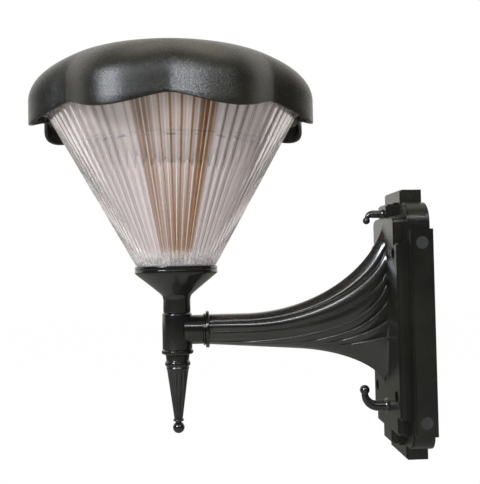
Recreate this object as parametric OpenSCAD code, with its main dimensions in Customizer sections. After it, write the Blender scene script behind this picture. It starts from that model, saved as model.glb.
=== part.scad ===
// Solar wall light: an eight-petal canopy with a round solar panel on top, a ribbed
// clear cone shade, a turned cup and pendant, and a fluted arm on a stepped wall plate.
// The wall is the plane Y = 0, the light stands out along -Y, and +Z is up.
// The origin is the centre of the four wall screws, on the wall.

/* [Wall plate] */
// Width of the plate between its straight sides
plate_w = 102; // [94:1:120]
// Height of the straight sides above the origin
side_top = 77.5; // [74:0.5:84]
// Depth of the straight sides below the origin
side_bottom = 87; // [82:0.5:92]
// Rise of the whole crown above the straight sides
crown_top_h = 34; // [32:1:40]
// Drop of the whole crown below the straight sides
crown_bottom_h = 24.5; // [22:0.5:30]
// Width across the rounded shoulders
shoulder_w = 86; // [80:1:90]
// Rise of the upper shoulders
shoulder_top_h = 23; // [20:1:26]
// Drop of the lower shoulders
shoulder_bottom_h = 14; // [14:0.5:17]
// Corner radius of the upper shoulders
shoulder_top_r = 17; // [14:0.5:19]
// Corner radius of the lower shoulders
shoulder_bottom_r = 13.5; // [13:0.5:14]
// Width of the end blocks
block_w = 47; // [44:1:54]
// Depth of the box part, from the wall
plate_box_t = 18; // [16:1:24]
// Height of the raised panel in front of the box part
plate_raise = 9; // [7:0.5:11]
// Border between the box part's outline and the raised panel
plate_border = 11; // [10:0.5:11.5]
// Wall thickness of the plate's shell
plate_wall = 3; // [2.5:0.1:3.4]
// Distance between the wall screws across the plate
mount_x = 60; // [56:1:62]
// Distance between the wall screws up the plate
mount_z = 117; // [110:1:122]
// Diameter of the wall screws' holes
mount_hole_d = 5.5; // [4.5:0.1:6]
// Diameter of the recess that hides a screw's head
mount_head_d = 9.2; // [8.5:0.1:10]
// Thickness left under a screw's head
mount_floor_t = 6; // [4:0.5:9]
// Distance of the side plugs from the ends of the straight sides
plug_inset = 11; // [9:0.5:16]
// Diameter of the side plugs
plug_d = 10; // [8:0.5:11]

/* [Arm] */
// Distance from the wall to the lamp's axis
reach = 205; // [190:1:230]
// Height of the arm's tube above the origin
arm_z = -2.2; // [-6:0.2:2]
// Diameter of the arm where it leaves the tee
arm_d = 25.4; // [24:0.2:28]
// Width of the arm's root on the plate
arm_root_w = 26; // [22:1:32]
// Distance of the root's upper tip below the crown's top
arm_root_top_inset = 24.5; // [22:0.5:32]
// Distance of the root's lower tip above the crown's bottom
arm_root_bottom_inset = 54.5; // [51.5:0.5:61]
// Depth of a flute as a share of its width
flute_share = 0.18; // [0.1:0.01:0.22]

/* [Scroll hooks] */
// Distance of the upper hook below the crown's top
upper_hook_inset = 18.5; // [17.5:0.5:19.5]
// Length of the upper hook's straight run
upper_hook_run = 9; // [7:0.5:11]
// Bend radius of the upper hook
upper_hook_bend = 4.5; // [4:0.5:6]
// Turn of the upper hook
upper_hook_turn = 75; // [60:5:100]
// Thickness of the upper hook
upper_hook_d = 6.2; // [5:0.2:6.6]
// Distance of the lower hook above the crown's bottom
lower_hook_inset = 40.5; // [38.5:0.5:41.5]
// Length of the lower hook's straight run
lower_hook_run = 8.5; // [7:0.5:11]
// Bend radius of the lower hook
lower_hook_bend = 10.5; // [9:0.5:13]
// Turn of the lower hook
lower_hook_turn = 90; // [75:5:100]
// Thickness of the lower hook
lower_hook_d = 8.4; // [7:0.2:9]

/* [Tee and pendant] */
// Diameter of the tee's upright
tee_d = 25; // [24:0.5:28]
// Rise of the tee above the arm's tube
tee_up = 14.5; // [14:0.5:18]
// Drop of the tee below the arm's tube
tee_down = 20; // [18:0.5:24]
// Diameter of the collar between tee and arm
collar_d = 31; // [29:0.5:34]
// Thickness of that collar
collar_t = 5; // [4:0.5:6]
// Length of the pendant below the tee
pendant_h = 66.4; // [55:0.2:75]
// Diameter of the ball at its tip
ball_d = 9.8; // [8:0.2:11]
// Number of flutes on the pendant
pendant_flutes = 12; // [8:1:13]
// Diameter of the threaded pipe through the tee
pipe_d = 10; // [8:0.5:11]

/* [Cup] */
// Diameter of the neck
neck_d = 23; // [20:0.5:24.5]
// Height of the neck
neck_h = 15; // [12:0.5:18]
// Height of the cup's taper
taper_h = 17.5; // [15:0.5:22]
// Diameter of the cup's rim
cup_d = 69.8; // [66:0.2:80]
// Height of the cup's rim
cup_rim_h = 6.8; // [6:0.2:9]

/* [Shade] */
// Height of the ribbed cone
shade_h = 125.7; // [110:0.1:140]
// Distance of the cone's top inside the clefts
shade_inset = 4.6; // [4.5:0.1:8]
// Wall of the shade, under its ribs
shade_wall = 2.4; // [2:0.1:3]
// Number of ribs round the shade
rib_count = 72; // [48:8:72]
// Depth of a rib as a share of the cone's radius
rib_share = 0.013; // [0.008:0.001:0.014]
// Thickness of the flange under the canopy
flange_t = 2.5; // [2:0.1:3]

/* [Canopy] */
// Diameter across the petals
cap_d = 240; // [232:1:250]
// Depth of the clefts between petals
cleft_cut = 11; // [9:0.5:12]
// Height from the flange to the canopy's top
cap_rise = 45; // [42:0.5:52]
// Height of the straight part of the petals above the flange
petal_straight = 6; // [4:0.5:8]
// Drop of a petal's rim below the flange
petal_drop = 13.5; // [10:0.5:16]
// Drop of the rim below the flange at the clefts
cleft_drop = 4; // [3:0.5:6]
// Wall of the canopy
cap_wall = 2.6; // [2.2:0.1:2.8]

/* [Solar panel] */
// Diameter of the panel's seat
panel_d = 124; // [116:1:128]
// Thickness of the panel's glass
panel_glass_t = 2.4; // [2:0.1:3]
// Thickness of the cells
cell_t = 0.5; // [0.3:0.1:0.8]
// Thickness of the board behind the cells
backing_t = 1.2; // [1:0.1:1.6]
// Thickness of the foam tape under the panel
panel_tape_t = 0.8; // [0.5:0.1:1]
// Number of cells on the panel
cell_count = 8; // [4:1:12]
// Gap between neighbouring cells
cell_gap = 1; // [0.5:0.1:2]
// Diameter of the hole for the panel's leads
lead_hole_d = 12; // [8:1:16]

/* [Lamp tray] */
// Distance of the dish inside the cone's top
dish_inset = 10.4; // [9:0.2:12]
// Depth of the dish below the flange
dish_drop = 25; // [20:0.5:28]
// Thickness of the tray
tray_t = 2; // [1.6:0.1:2.4]
// Distance of the ring-shaped light board inside the dish's foot
led_inset = 3; // [2:0.5:8]
// Width of the light board's ring
led_ring_w = 14; // [12:0.5:20]
// Thickness of the light board
led_board_t = 1.6; // [1.2:0.1:2]
// Number of lights on the board
led_count = 24; // [12:2:30]
// Length of the battery cell
battery_l = 65; // [60:1:70]
// Diameter of the battery cell
battery_d = 18.4; // [16:0.1:20]
// Length of the control board
control_l = 56; // [48:1:60]
// Width of the control board
control_w = 36; // [30:1:40]

/* [Switch] */
// Diameter of the push button
button_d = 7.2; // [6.4:0.2:7.4]
// Height of the button below the flange
button_out = 3.5; // [3:0.5:5]
// Travel of the button
button_travel = 1.5; // [1:0.1:2]

/* [Hidden] */
$fn = 64;

black = [0.09, 0.09, 0.08];
gloss_black = [0.06, 0.06, 0.06];
clear = [0.86, 0.84, 0.82, 0.45];
white = [0.92, 0.91, 0.88];
steel = [0.72, 0.72, 0.72];
rubber = [0.16, 0.16, 0.16];

fit_gap = 0.2;       // clearance between pieces that slip into each other
join = 0.5;          // overlap of shapes that are fused into one solid
plate_t = plate_box_t + plate_raise;
plate_top = side_top + crown_top_h;
plate_bottom = -side_bottom - crown_bottom_h;
plate_step = 1.2;    // small steps of the moulding round both outlines
plate_ledge = 3;     // height of the ledge at the raised panel's foot
rib_t = 2;           // stiffening ribs inside the plate
rib_back = 4;        // their distance from the wall
post_wall = 2.4;

arm_start = 27;      // from the lamp's axis to the arm's end
spigot_d = 19.6;
spigot_l = 13;
arm_stations = 22;
arm_screw_pitch = 38;
arm_screw_d = 3;
arm_screw_head_d = 7;
arm_screw_head_t = 2.4;
arm_pilot_l = 12;
arm_belly = 11;      // drop of the arm's underside before its flare
arm_root_top = plate_top - arm_root_top_inset;
arm_root_bottom = plate_bottom + arm_root_bottom_inset;
arm_screw_z = [for (k = [-1:1]) (arm_root_top + arm_root_bottom) / 2 - 3 + k * arm_screw_pitch];

// Lines of the flutes' crests down the arm's side, as shares of its height, at the
// tee, at the middle pull and at the root
crests = [[0.12, 0.08, 0.06], [0.3, 0.2, 0.18], [0.61, 0.51, 0.31],
    [0.90, 0.81, 0.393], [0.93, 0.99, 0.487], [0.955, 1.03, 0.60], [0.98, 1.03, 0.71]];
flute_lip = 1.6;     // width of the lip that ends each flute, over the next crest
flute_deepest = 1.8;
arm_fade = 0.012;    // share of the arm over which the flutes start, at the collar

tee_top_z = arm_z + tee_up;
tee_bottom_z = arm_z - tee_down;
taper_z = tee_top_z + neck_h;
rim_z = taper_z + taper_h;
cup_top_z = rim_z + cup_rim_h;
cup_lip = 1.4;       // wall of the cup's rim
gasket_t = 1;
seat_z = cup_top_z - 4.8;
shade_z = seat_z + gasket_t;
shade_foot_r = cup_d / 2 - cup_lip - fit_gap;
shade_floor_t = 3;
flange_z = cup_top_z + shade_h;
flange_top_z = flange_z + flange_t;
seal_t = 1;
post_z = flange_top_z + seal_t;
pipe_r = pipe_d / 2;
pipe_bore_r = pipe_r - 1.8;
pipe_hole_r = pipe_r + fit_gap + 0.1;
pipe_in_pendant = 12;
cone_top = 13.4;     // the pendant's cone, below the tee
cone_top_r = tee_d / 2 - 3.4;
cone_end = pendant_h - ball_d - 2.5;
cone_end_r = 3.6;
flute_rise = 1;      // height of a flute's centreline above the cone
flute_top_r = 1.9;
flute_end_r = 0.7;
washer_t = 1.5;
nut_t = 6;
nut_across = pipe_d * 1.7;

cleft_d = cap_d - 2 * cleft_cut;
shade_d = cleft_d - 2 * shade_inset;
cap_top_z = flange_z + cap_rise;
petals = 8;
cap_round = 1.85;    // squareness of the dome's curve, 2 is an ellipse
cleft_fade = 0.85;   // share of the dome's height at which a cleft has closed
petal_soft = 0.75;   // lower is a fuller petal with a sharper cleft
petal_points = 12;
cap_points = petals * petal_points;
petal_angle = 360 / petals;
recess_t = panel_tape_t + backing_t + cell_t + panel_glass_t + 0.1;
recess_z = cap_top_z - recess_t;
ceiling_z = recess_z - cap_wall;
panel_r = panel_d / 2 - 0.3;
seat_gap = 0.8;      // between the canopy's wall and the flange inside it

dish_d = shade_d - 2 * dish_inset;
dish_wall_gap = 2.6; // between the dish's foot and the cone round it
shade_screw_r = cap_d / 2 - cap_wall - 6.6;
shade_screw_angles = [for (k = [0:3]) petal_angle / 2 + 90 * k];
shade_post_d = 7.2;
shade_post_top = post_z + 15.5;
tray_screw_r = dish_d / 2 + 3.5;
tray_screw_angles = [for (k = [0:3]) 90 * k];
tray_post_d = 6;
tray_post_top = cap_top_z - 13.2;
small_screw_d = 2.6;
screw_head_d = 5.4;
screw_head_t = 1.8;
screw_l = 9;

tray_z = flange_top_z + 0.3;
dish_z = flange_z - dish_drop;
dish_top_z = dish_z + tray_t;
dish_foot_r = cone_r(dish_z) - shade_wall * 1.5 - dish_wall_gap;
led_board_d = 2 * (dish_foot_r - led_inset);
led_board_bore_d = led_board_d - 2 * led_ring_w;
led_top_z = dish_z;
led_z = led_top_z - led_board_t;
chip_l = 3.5;
chip_w = 2.8;
chip_t = 0.8;
led_ring_r = (led_board_d + led_board_bore_d) / 4;
tray_wire_d = 8;

holder_wall = 1.8;
holder_l = battery_l + 8;
holder_w = battery_d + 2 * holder_wall + 0.4;
holder_h = battery_d * 0.7;
battery_y = -16;
battery_z = dish_top_z + holder_wall + battery_d / 2 + 0.1;
control_y = 26;
control_t = 1.6;
control_standoff = 5;
standoff_d = 5;
standoff_inset = 4;
control_chip = [10, 8, 2];
capacitor_d = 8;
capacitor_h = 10;
control_z = dish_top_z + control_standoff;
lead_d = 1.6;
lead_slack = 5;      // height of the leads above the board, and below the ceiling
lead_inset = 4;      // from the board's edge
lead_drop = 3;       // below the light board, and above the seal
tray_wire_x = lead_inset - control_l / 2; // hole for the light board's leads

button_angle = 180 - petal_angle / 2;
button_r = (cap_d / 2 - cap_wall - seat_gap + shade_d / 2) / 2 + 0.4;
button_hole_d = button_d + 0.5;
button_shoulder_d = button_d + 2;
button_shoulder_t = 1.2;
button_stem_d = 3;
button_stem_t = 1.4;
switch_d = 11;
switch_h = 6;

// Shared shapes

module at_lamp() {
    translate([0, -reach, 0]) children();
}

module round_lamp(angles, radius) {
    for (a = angles) rotate([0, 0, a]) translate([radius, 0, 0]) children();
}

// Extrudes an outline drawn in X and Z from the wall, or from depth y0, out to y1
module out_from_wall(y0, y1) {
    translate([0, -y0, 0]) rotate([90, 0, 0]) linear_extrude(y1 - y0) children();
}

// A closed solid through a stack of rings with the same number of points
module stacked(rings) {
    n = len(rings[0]);
    m = len(rings);
    polyhedron(
        points = [for (ring = rings) each ring],
        faces = concat(
            [for (i = [0:m - 2], j = [0:n - 1])
                each quad(i * n + j, i * n + (j + 1) % n, n)],
            [[for (j = [0:n - 1]) j]],
            [[for (j = [n - 1:-1:0]) (m - 1) * n + j]]));
}

// The same, with the last ring joined back to the first, as for a shell with a hole
module looped(rings) {
    n = len(rings[0]);
    m = len(rings);
    polyhedron(
        points = [for (ring = rings) each ring],
        faces = [for (i = [0:m - 1], j = [0:n - 1])
            each loop_quad(i * n + j, i * n + (j + 1) % n, ((i + 1) % m) * n + j,
                ((i + 1) % m) * n + (j + 1) % n)]);
}

function quad(a, b, n) = loop_quad(a, b, a + n, b + n);
function loop_quad(a, b, c, d) = [[a, c, b], [b, c, d]];

module screw_along_z(head_d, head_t, shank_d, length) {
    cylinder(d = head_d, h = head_t);
    translate([0, 0, head_t - join]) cylinder(d = shank_d, h = length + join);
}

// Wall plate

module span(half_w, low, high) {
    translate([-half_w, low]) square([2 * half_w, high - low]);
}

// One end of the plate's outline: rounded shoulders, then a narrower block
module crown(inset, side_h, shoulder_h, shoulder_r, crown_h) {
    top = side_h + shoulder_h - inset;
    half_w = shoulder_w / 2 - inset;
    r = shoulder_r - inset;
    span(half_w - r, 0, top);
    span(half_w, 0, top - r);
    for (side = [-1, 1]) translate([side * (half_w - r), top - r]) circle(r);
    span(block_w / 2 - inset, 0, side_h + crown_h - inset);
}

module plate_outline(inset) {
    span(plate_w / 2 - inset, inset - side_bottom, side_top - inset);
    crown(inset, side_top, shoulder_top_h, shoulder_top_r, crown_top_h);
    mirror([0, 1])
        crown(inset, side_bottom, shoulder_bottom_h, shoulder_bottom_r, crown_bottom_h);
}

module at_mounts() {
    for (x = [-1, 1], z = [-1, 1])
        translate([x * mount_x / 2, 0, z * mount_z / 2]) children();
}

module at_plugs() {
    for (side = [-1, 1], z = [side_top - plug_inset, plug_inset - side_bottom])
        translate([side * plate_w / 2, -plate_box_t / 2, z])
            rotate([0, -90 * side, 0]) children();
}

// Steps of the plate from the wall out: inset of the outline and where the step ends
plate_steps = [[0, plate_box_t - plate_step], [plate_step, plate_box_t],
    [plate_border - plate_step, plate_box_t + plate_ledge],
    [plate_border, plate_t - plate_step], [plate_border + plate_step, plate_t]];

module plate_solid() {
    for (i = [0:len(plate_steps) - 1])
        out_from_wall(i == 0 ? 0 : plate_steps[i - 1][1] - join, plate_steps[i][1])
            plate_outline(plate_steps[i][0]);
}

module plate_hollow() {
    inset = plate_border + plate_step + plate_wall;
    out_from_wall(-join, plate_box_t - plate_wall) plate_outline(plate_wall);
    out_from_wall(-join, plate_t - plate_wall) {
        span(plate_w / 2 - inset, inset - side_bottom, side_top - inset);
        span(block_w / 2 - inset, plate_bottom + inset, plate_top - inset);
    }
}

module plate_inside() {
    at_mounts() out_from_wall(0, plate_t - join)
        circle(d = mount_head_d + 2 * post_wall);
    for (z = [-1, 1]) translate([0, 0, z * mount_z / 2])
        out_from_wall(rib_back, plate_box_t - join) span(plate_w / 2 - join, -rib_t / 2, rib_t / 2);
}

module plate_holes() {
    at_mounts() {
        out_from_wall(-join, plate_t + join) circle(d = mount_hole_d);
        out_from_wall(mount_floor_t, plate_t + join) circle(d = mount_head_d);
    }
    for (z = arm_screw_z) translate([0, 0, z])
        out_from_wall(0, plate_t + join) circle(d = arm_screw_d + 0.4);
    at_plugs() translate([0, 0, -join]) cylinder(d = plug_d + 0.1, h = plate_wall + 2 * join);
}

module wall_plate() color(black) difference() {
    union() {
        difference() {
            plate_solid();
            plate_hollow();
        }
        plate_inside();
    }
    plate_holes();
}

module side_plugs() color(rubber) at_plugs() {
    translate([0, 0, 0.1]) cylinder(d = plug_d, h = plate_wall - 0.1);
    translate([0, 0, plate_wall]) cylinder(d = plug_d + 2, h = 1);
}

// Arm

function blend3(v, t) = v[0] * pow(1 - t, 2) + 2 * v[1] * t * (1 - t) + v[2] * t * t;
function flare(u, power) = 1 - pow(max(0, 1 - u * u), power);
function arm_top(t) = arm_z + arm_d / 2
    + (arm_root_top - arm_z - arm_d / 2) * flare(max(0, (t - 0.2) / 0.8), 0.62);
function arm_bottom(t) = arm_z - arm_d / 2 - arm_belly * t
    + (arm_root_bottom - arm_z + arm_d / 2 + arm_belly) * flare(max(0, 2 * t - 1), 0.5);
function arm_half_w(t) = arm_d / 2 + (arm_root_w - arm_d) / 2 * t;

// Shares of the arm's height at the sampled points down one side, with the depth of each:
// a flute deepens slowly down from its crest and comes out over a narrow lip to the next
function arm_shares(t, height) =
    let (c = [for (v = crests) blend3(v, t)], all = concat(c, [1]))
    concat(
        [for (j = [1:3]) [c[0] * pow(j / 4, 2), 0]],
        [for (i = [0:len(c) - 1])
            let (w = all[i + 1] - c[i], lip = min(0.5, flute_lip / (w * height)),
                depth = min(flute_share * w * height, flute_deepest)
                    * (i == len(c) - 1 ? 0.3 : 1))
            for (p = [[0, 0], [(1 - lip) / 2, 0.45], [1 - lip, 1], [1 - lip / 2, 0.65]])
                [c[i] + w * p[0], depth * p[1]]]);

function arm_side(t, side) = let (
        top = arm_top(t),
        height = top - arm_bottom(t),
        bulge = 0.5 + 0.25 * t)
    [for (s = arm_shares(t, height))
        [side * (arm_half_w(t) * pow(1 - pow(2 * s[0] - 1, 2), bulge) - s[1] * min(1, t / arm_fade)),
        arm_y(t), top - s[0] * height]];
function arm_y(t) = -reach + arm_start + (reach - arm_start - plate_t) * t;
function reversed(v) = [for (i = [len(v) - 1:-1:0]) v[i]];
function arm_ring(t) = concat(
    [[0, arm_y(t), arm_top(t)]], arm_side(t, 1),
    [[0, arm_y(t), arm_bottom(t)]], reversed(arm_side(t, -1)));

// Stations crowd towards the root, where the arm flares
function station(i) = 1 - pow(1 - i / arm_stations, 1.5);

module arm() color(black) difference() {
    union() {
        stacked([for (t = concat([0, arm_fade], [for (i = [1:arm_stations]) station(i)]))
            arm_ring(t)]);
        translate([0, -reach + arm_start + join, arm_z]) rotate([90, 0, 0])
            cylinder(d = spigot_d, h = spigot_l + join);
    }
    for (z = arm_screw_z) translate([0, 0, z])
        out_from_wall(plate_t - join, plate_t + arm_pilot_l) circle(d = arm_screw_d - 0.4);
}

module arm_screws() color(steel) for (z = arm_screw_z)
    translate([0, arm_screw_head_t + plate_wall - plate_t, z]) rotate([90, 0, 0])
        screw_along_z(arm_screw_head_d, arm_screw_head_t, arm_screw_d - 0.5,
            plate_wall + arm_pilot_l - 1);

// Scroll hooks

hook_sides = 12;
hook_steps = 9;
hook_root_swell = 1.5;    // the root, the run and the tip as shares of the thickness
hook_run_swell = 1.08;
hook_tip_swell = 0.66;
hook_ball_share = 0.5;
upper_hook_z = plate_top - upper_hook_inset;
lower_hook_z = plate_bottom + lower_hook_inset;

// A ring of radius r round the hook's centreline, square to its heading
function hook_ring(y, z, heading, r) = [for (k = [0:hook_sides - 1])
    let (a = 360 * k / hook_sides)
    [r * cos(a), -y + r * sin(a) * sin(heading), z + r * sin(a) * cos(heading)]];

// A straight run out of the plate, a bend that turns up or down, and a ball at the tip
module hook(z, run, bend, thick, turn, up) {
    r = thick / 2;
    ball_r = thick * hook_ball_share;
    neck = asin(min(1, r * hook_tip_swell / ball_r));
    end_y = plate_t + run + bend * sin(turn);
    end_z = z + up * bend * (1 - cos(turn));
    taper = (hook_run_swell - hook_tip_swell) / hook_steps;
    stacked(concat(
        [hook_ring(plate_t, z, 0, r * hook_root_swell),
            hook_ring(plate_t + 1.5, z, 0, r * (hook_run_swell + 0.1))],
        [for (i = [0:hook_steps]) let (a = turn * i / hook_steps)
            hook_ring(plate_t + run + bend * sin(a), z + up * bend * (1 - cos(a)), up * a,
                r * (hook_run_swell - taper * i))],
        [for (a = [neck + 12:18:168]) let (d = ball_r * (cos(neck) - cos(a)))
            hook_ring(end_y + d * cos(turn), end_z + up * d * sin(turn), up * turn,
                ball_r * sin(a))]));
}

module upper_hook() color(gloss_black) hook(upper_hook_z, upper_hook_run,
    upper_hook_bend, upper_hook_d, upper_hook_turn, -1);

module lower_hook() color(gloss_black) hook(lower_hook_z, lower_hook_run,
    lower_hook_bend, lower_hook_d, lower_hook_turn, 1);

// Tee, collar and pendant

module arm_collar() color(gloss_black) translate([0, -reach + arm_start, arm_z])
    rotate([90, 0, 0]) difference() {
        rotate_extrude() polygon([[0, 0], [collar_d / 2 - 0.6, 0], [collar_d / 2, 0.6],
            [collar_d / 2, 2.4], [collar_d / 2 - 0.6, 3], [tee_d / 2, 3],
            [tee_d / 2 + 1, 3.6], [tee_d / 2 + 1, collar_t - 0.4],
            [tee_d / 2 + 0.6, collar_t], [0, collar_t]]);
        translate([0, 0, -join]) cylinder(d = spigot_d + fit_gap, h = collar_t + 2 * join);
    }

module tee() color(gloss_black) difference() {
    union() {
        at_lamp() rotate_extrude() polygon([[0, tee_top_z], [tee_d / 2 - 1, tee_top_z],
            [tee_d / 2, tee_top_z - 1], [tee_d / 2, tee_bottom_z + 4.4],
            [tee_d / 2 - 0.5, tee_bottom_z + 3.9], [tee_d / 2 + 0.8, tee_bottom_z + 3],
            [tee_d / 2 + 0.8, tee_bottom_z + 0.8], [tee_d / 2, tee_bottom_z],
            [0, tee_bottom_z]]);
        translate([0, -reach + arm_start - collar_t, arm_z]) rotate([90, 0, 0])
            cylinder(d = tee_d - 0.4, h = arm_start - collar_t - pipe_hole_r - 1);
    }
    at_lamp() translate([0, 0, tee_bottom_z - join])
        cylinder(r = pipe_hole_r, h = tee_up + tee_down + 2 * join);
    translate([0, -reach + arm_start - collar_t + join, arm_z]) rotate([90, 0, 0])
        cylinder(d = spigot_d + fit_gap, h = spigot_l - collar_t + join + fit_gap);
}

// The pendant's profile, measured down from the tee: rings, a cone, a collar and a ball
module pendant_profile() {
    r = tee_d / 2;
    polygon([[0, 0], [r - 2.4, 0], [r - 3, -5.6], [r - 2, -6.6], [r - 1.8, -8],
        [r - 2, -9.6], [r - 3.2, -10.4], [r - 2.8, -11.2], [r - 2.8, -12],
        [cone_top_r, -cone_top], [cone_end_r, -cone_end],
        [cone_end_r + 0.9, -cone_end - 0.8], [cone_end_r + 0.9, -cone_end - 1.8],
        [cone_end_r - 1, -cone_end - 2.6], [cone_end_r - 1, -pendant_h + ball_d * 0.6],
        [0, -pendant_h + ball_d * 0.6]]);
}

module pendant_flute() {
    fall = cone_end - cone_top;
    lean = atan((cone_top_r + flute_rise - cone_end_r) / fall);
    translate([cone_top_r + flute_rise, 0, -cone_top]) rotate([0, 180 + lean, 0])
        translate([0, 0, 1.5])
            cylinder(r1 = flute_top_r, r2 = flute_end_r, h = fall - 3);
}

module pendant() color(gloss_black) at_lamp() translate([0, 0, tee_bottom_z])
    difference() {
        union() {
            rotate_extrude() pendant_profile();
            translate([0, 0, -pendant_h + ball_d / 2]) sphere(d = ball_d);
        }
        for (k = [0:pendant_flutes - 1]) rotate([0, 0, 360 * k / pendant_flutes])
            pendant_flute();
        translate([0, 0, -pipe_in_pendant - fit_gap])
            cylinder(r = pipe_r + 0.1, h = pipe_in_pendant + fit_gap + join);
    }

pipe_bottom_z = tee_bottom_z - pipe_in_pendant;
nut_z = shade_z + shade_floor_t + washer_t;

module stem_pipe() color(steel) at_lamp() translate([0, 0, pipe_bottom_z])
    difference() {
        cylinder(r = pipe_r, h = nut_z + nut_t + 3 - pipe_bottom_z);
        translate([0, 0, -join])
            cylinder(r = pipe_bore_r, h = nut_z + nut_t + 4 - pipe_bottom_z);
    }

// Cup

module lamp_cup() color(gloss_black) at_lamp() rotate_extrude() polygon([
    [pipe_hole_r, tee_top_z], [neck_d / 2 - 0.6, tee_top_z],
    [neck_d / 2, tee_top_z + 0.6], [neck_d / 2, taper_z - 2.5],
    [neck_d / 2 + 1, taper_z], [neck_d / 2 + 8, taper_z + taper_h * 0.34],
    [cup_d / 2 - 1, rim_z], [cup_d / 2, rim_z + 1], [cup_d / 2, rim_z + 3.4],
    [cup_d / 2 - 0.5, rim_z + 3.8], [cup_d / 2, rim_z + 4.2],
    [cup_d / 2, cup_top_z - 0.4], [cup_d / 2 - 0.4, cup_top_z],
    [cup_d / 2 - cup_lip, cup_top_z], [cup_d / 2 - cup_lip, seat_z],
    [pipe_hole_r, seat_z]]);

module cup_gasket() color(rubber) at_lamp() translate([0, 0, seat_z]) difference() {
    cylinder(r = shade_foot_r - 0.2, h = gasket_t);
    translate([0, 0, -join]) cylinder(r = shade_foot_r - 12, h = gasket_t + 2 * join);
}

module clamp_washer() color(steel) at_lamp()
    translate([0, 0, shade_z + shade_floor_t]) difference() {
        cylinder(r = pipe_r + 7, h = washer_t);
        translate([0, 0, -join]) cylinder(r = pipe_hole_r, h = washer_t + 2 * join);
    }

module clamp_nut() color(steel) at_lamp() translate([0, 0, nut_z]) difference() {
    cylinder(d = nut_across / cos(30), h = nut_t, $fn = 6);
    translate([0, 0, -join]) cylinder(r = pipe_r + 0.05, h = nut_t + 2 * join);
}

// Petal outlines, shared by the canopy, the flange and the seal. The wave is 1 at a
// petal's tip and 0 in the soft cleft between two petals.

function petal_wave(a) = pow((1 - cos(a * petals)) / 2, petal_soft);
function petal_r(tip, cleft, a) = cleft + (tip - cleft) * petal_wave(a);

function petal_outline(tip, cleft) = [for (k = [0:cap_points - 1])
    let (a = 360 * k / cap_points, r = petal_r(tip, cleft, a))
    [r * cos(a), r * sin(a)]];

flange_tip_r = cap_d / 2 - cap_wall - seat_gap;
flange_cleft_r = cleft_d / 2 - cap_wall - seat_gap;
seal_tip_r = flange_tip_r - 0.1;
seal_cleft_r = flange_cleft_r - 0.1;
seal_bore_r = flange_cleft_r - 2.4;

// Shade

shade_points = rib_count * 4;
function shade_ring(r, z, depth) = [for (k = [0:shade_points - 1])
    let (a = 360 * k / shade_points, rr = r - depth * (1 - cos(90 * k)) / 2)
    [rr * cos(a), rr * sin(a), z]];
function cone_r(z) = shade_foot_r
    + (shade_d / 2 - shade_foot_r) * (z - cup_top_z) / shade_h;

module shade() color(clear) at_lamp() difference() {
    union() {
        stacked([
            shade_ring(shade_foot_r, shade_z, 0),
            shade_ring(shade_foot_r, cup_top_z + 0.5, 0),
            shade_ring(cone_r(cup_top_z + 2.5), cup_top_z + 2.5,
                cone_r(cup_top_z + 2.5) * rib_share),
            shade_ring(cone_r(flange_z + join), flange_z + join, shade_d / 2 * rib_share)]);
        translate([0, 0, flange_z]) linear_extrude(flange_t)
            polygon(petal_outline(flange_tip_r, flange_cleft_r));
    }
    translate([0, 0, shade_z + shade_floor_t]) cylinder(
        r1 = cone_r(shade_z + shade_floor_t) - shade_wall * 1.5,
        r2 = cone_r(flange_top_z + join) - shade_wall * 1.2,
        h = flange_top_z + join - shade_z - shade_floor_t, $fn = 180);
    translate([0, 0, shade_z - join]) cylinder(r = pipe_hole_r, h = shade_floor_t + 2 * join);
    round_lamp(shade_screw_angles, shade_screw_r) translate([0, 0, flange_z - join])
        cylinder(d = small_screw_d + 0.4, h = flange_t + 2 * join);
    round_lamp([button_angle], button_r) translate([0, 0, flange_z - join])
        cylinder(d = button_hole_d, h = flange_t + 2 * join);
}

module shade_seal() color(rubber) at_lamp() difference() {
    translate([0, 0, flange_top_z]) linear_extrude(seal_t)
        polygon(petal_outline(seal_tip_r, seal_cleft_r));
    translate([0, 0, flange_top_z - join]) cylinder(r = seal_bore_r, h = seal_t + 2 * join);
    round_lamp(shade_screw_angles, shade_screw_r) translate([0, 0, flange_top_z - join])
        cylinder(d = small_screw_d + 0.4, h = seal_t + 2 * join);
    round_lamp([button_angle], button_r) translate([0, 0, flange_top_z - join])
        cylinder(d = button_shoulder_d + 0.6, h = seal_t + 2 * join);
}

module shade_screws() color(steel) at_lamp() round_lamp(shade_screw_angles, shade_screw_r)
    translate([0, 0, flange_z - screw_head_t])
        screw_along_z(screw_head_d, screw_head_t, small_screw_d - 0.4, screw_l);

// Canopy

// One ring of the canopy: petal tip and cleft radii, then the height at tip and cleft
function cap_ring(tip, cleft, tip_z, cleft_z) = [for (k = [0:cap_points - 1])
    let (a = 360 * k / cap_points, r = petal_r(tip, cleft, a))
    [r * cos(a), r * sin(a), cleft_z + (tip_z - cleft_z) * petal_wave(a)]];

// A ring of the dome at angle t from its foot, inside by the wall's thickness if asked
function dome_ring(t, inside) = let (
        tip = cap_d / 2 - inside,
        lip = panel_d / 2 + 2.4,
        foot_z = flange_z + petal_straight,
        high = (inside > 0 ? ceiling_z : cap_top_z) - foot_z,
        r = lip + (tip - lip) * pow(cos(t), 2 / cap_round),
        h = pow(sin(t), 2 / cap_round),
        depth = cleft_cut * (1 - pow(min(1, h / cleft_fade), 1.4)))
    cap_ring(r, r - depth, foot_z + high * h, foot_z + high * h);
function round_ring(r, z) = cap_ring(r, r, z, z);

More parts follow.
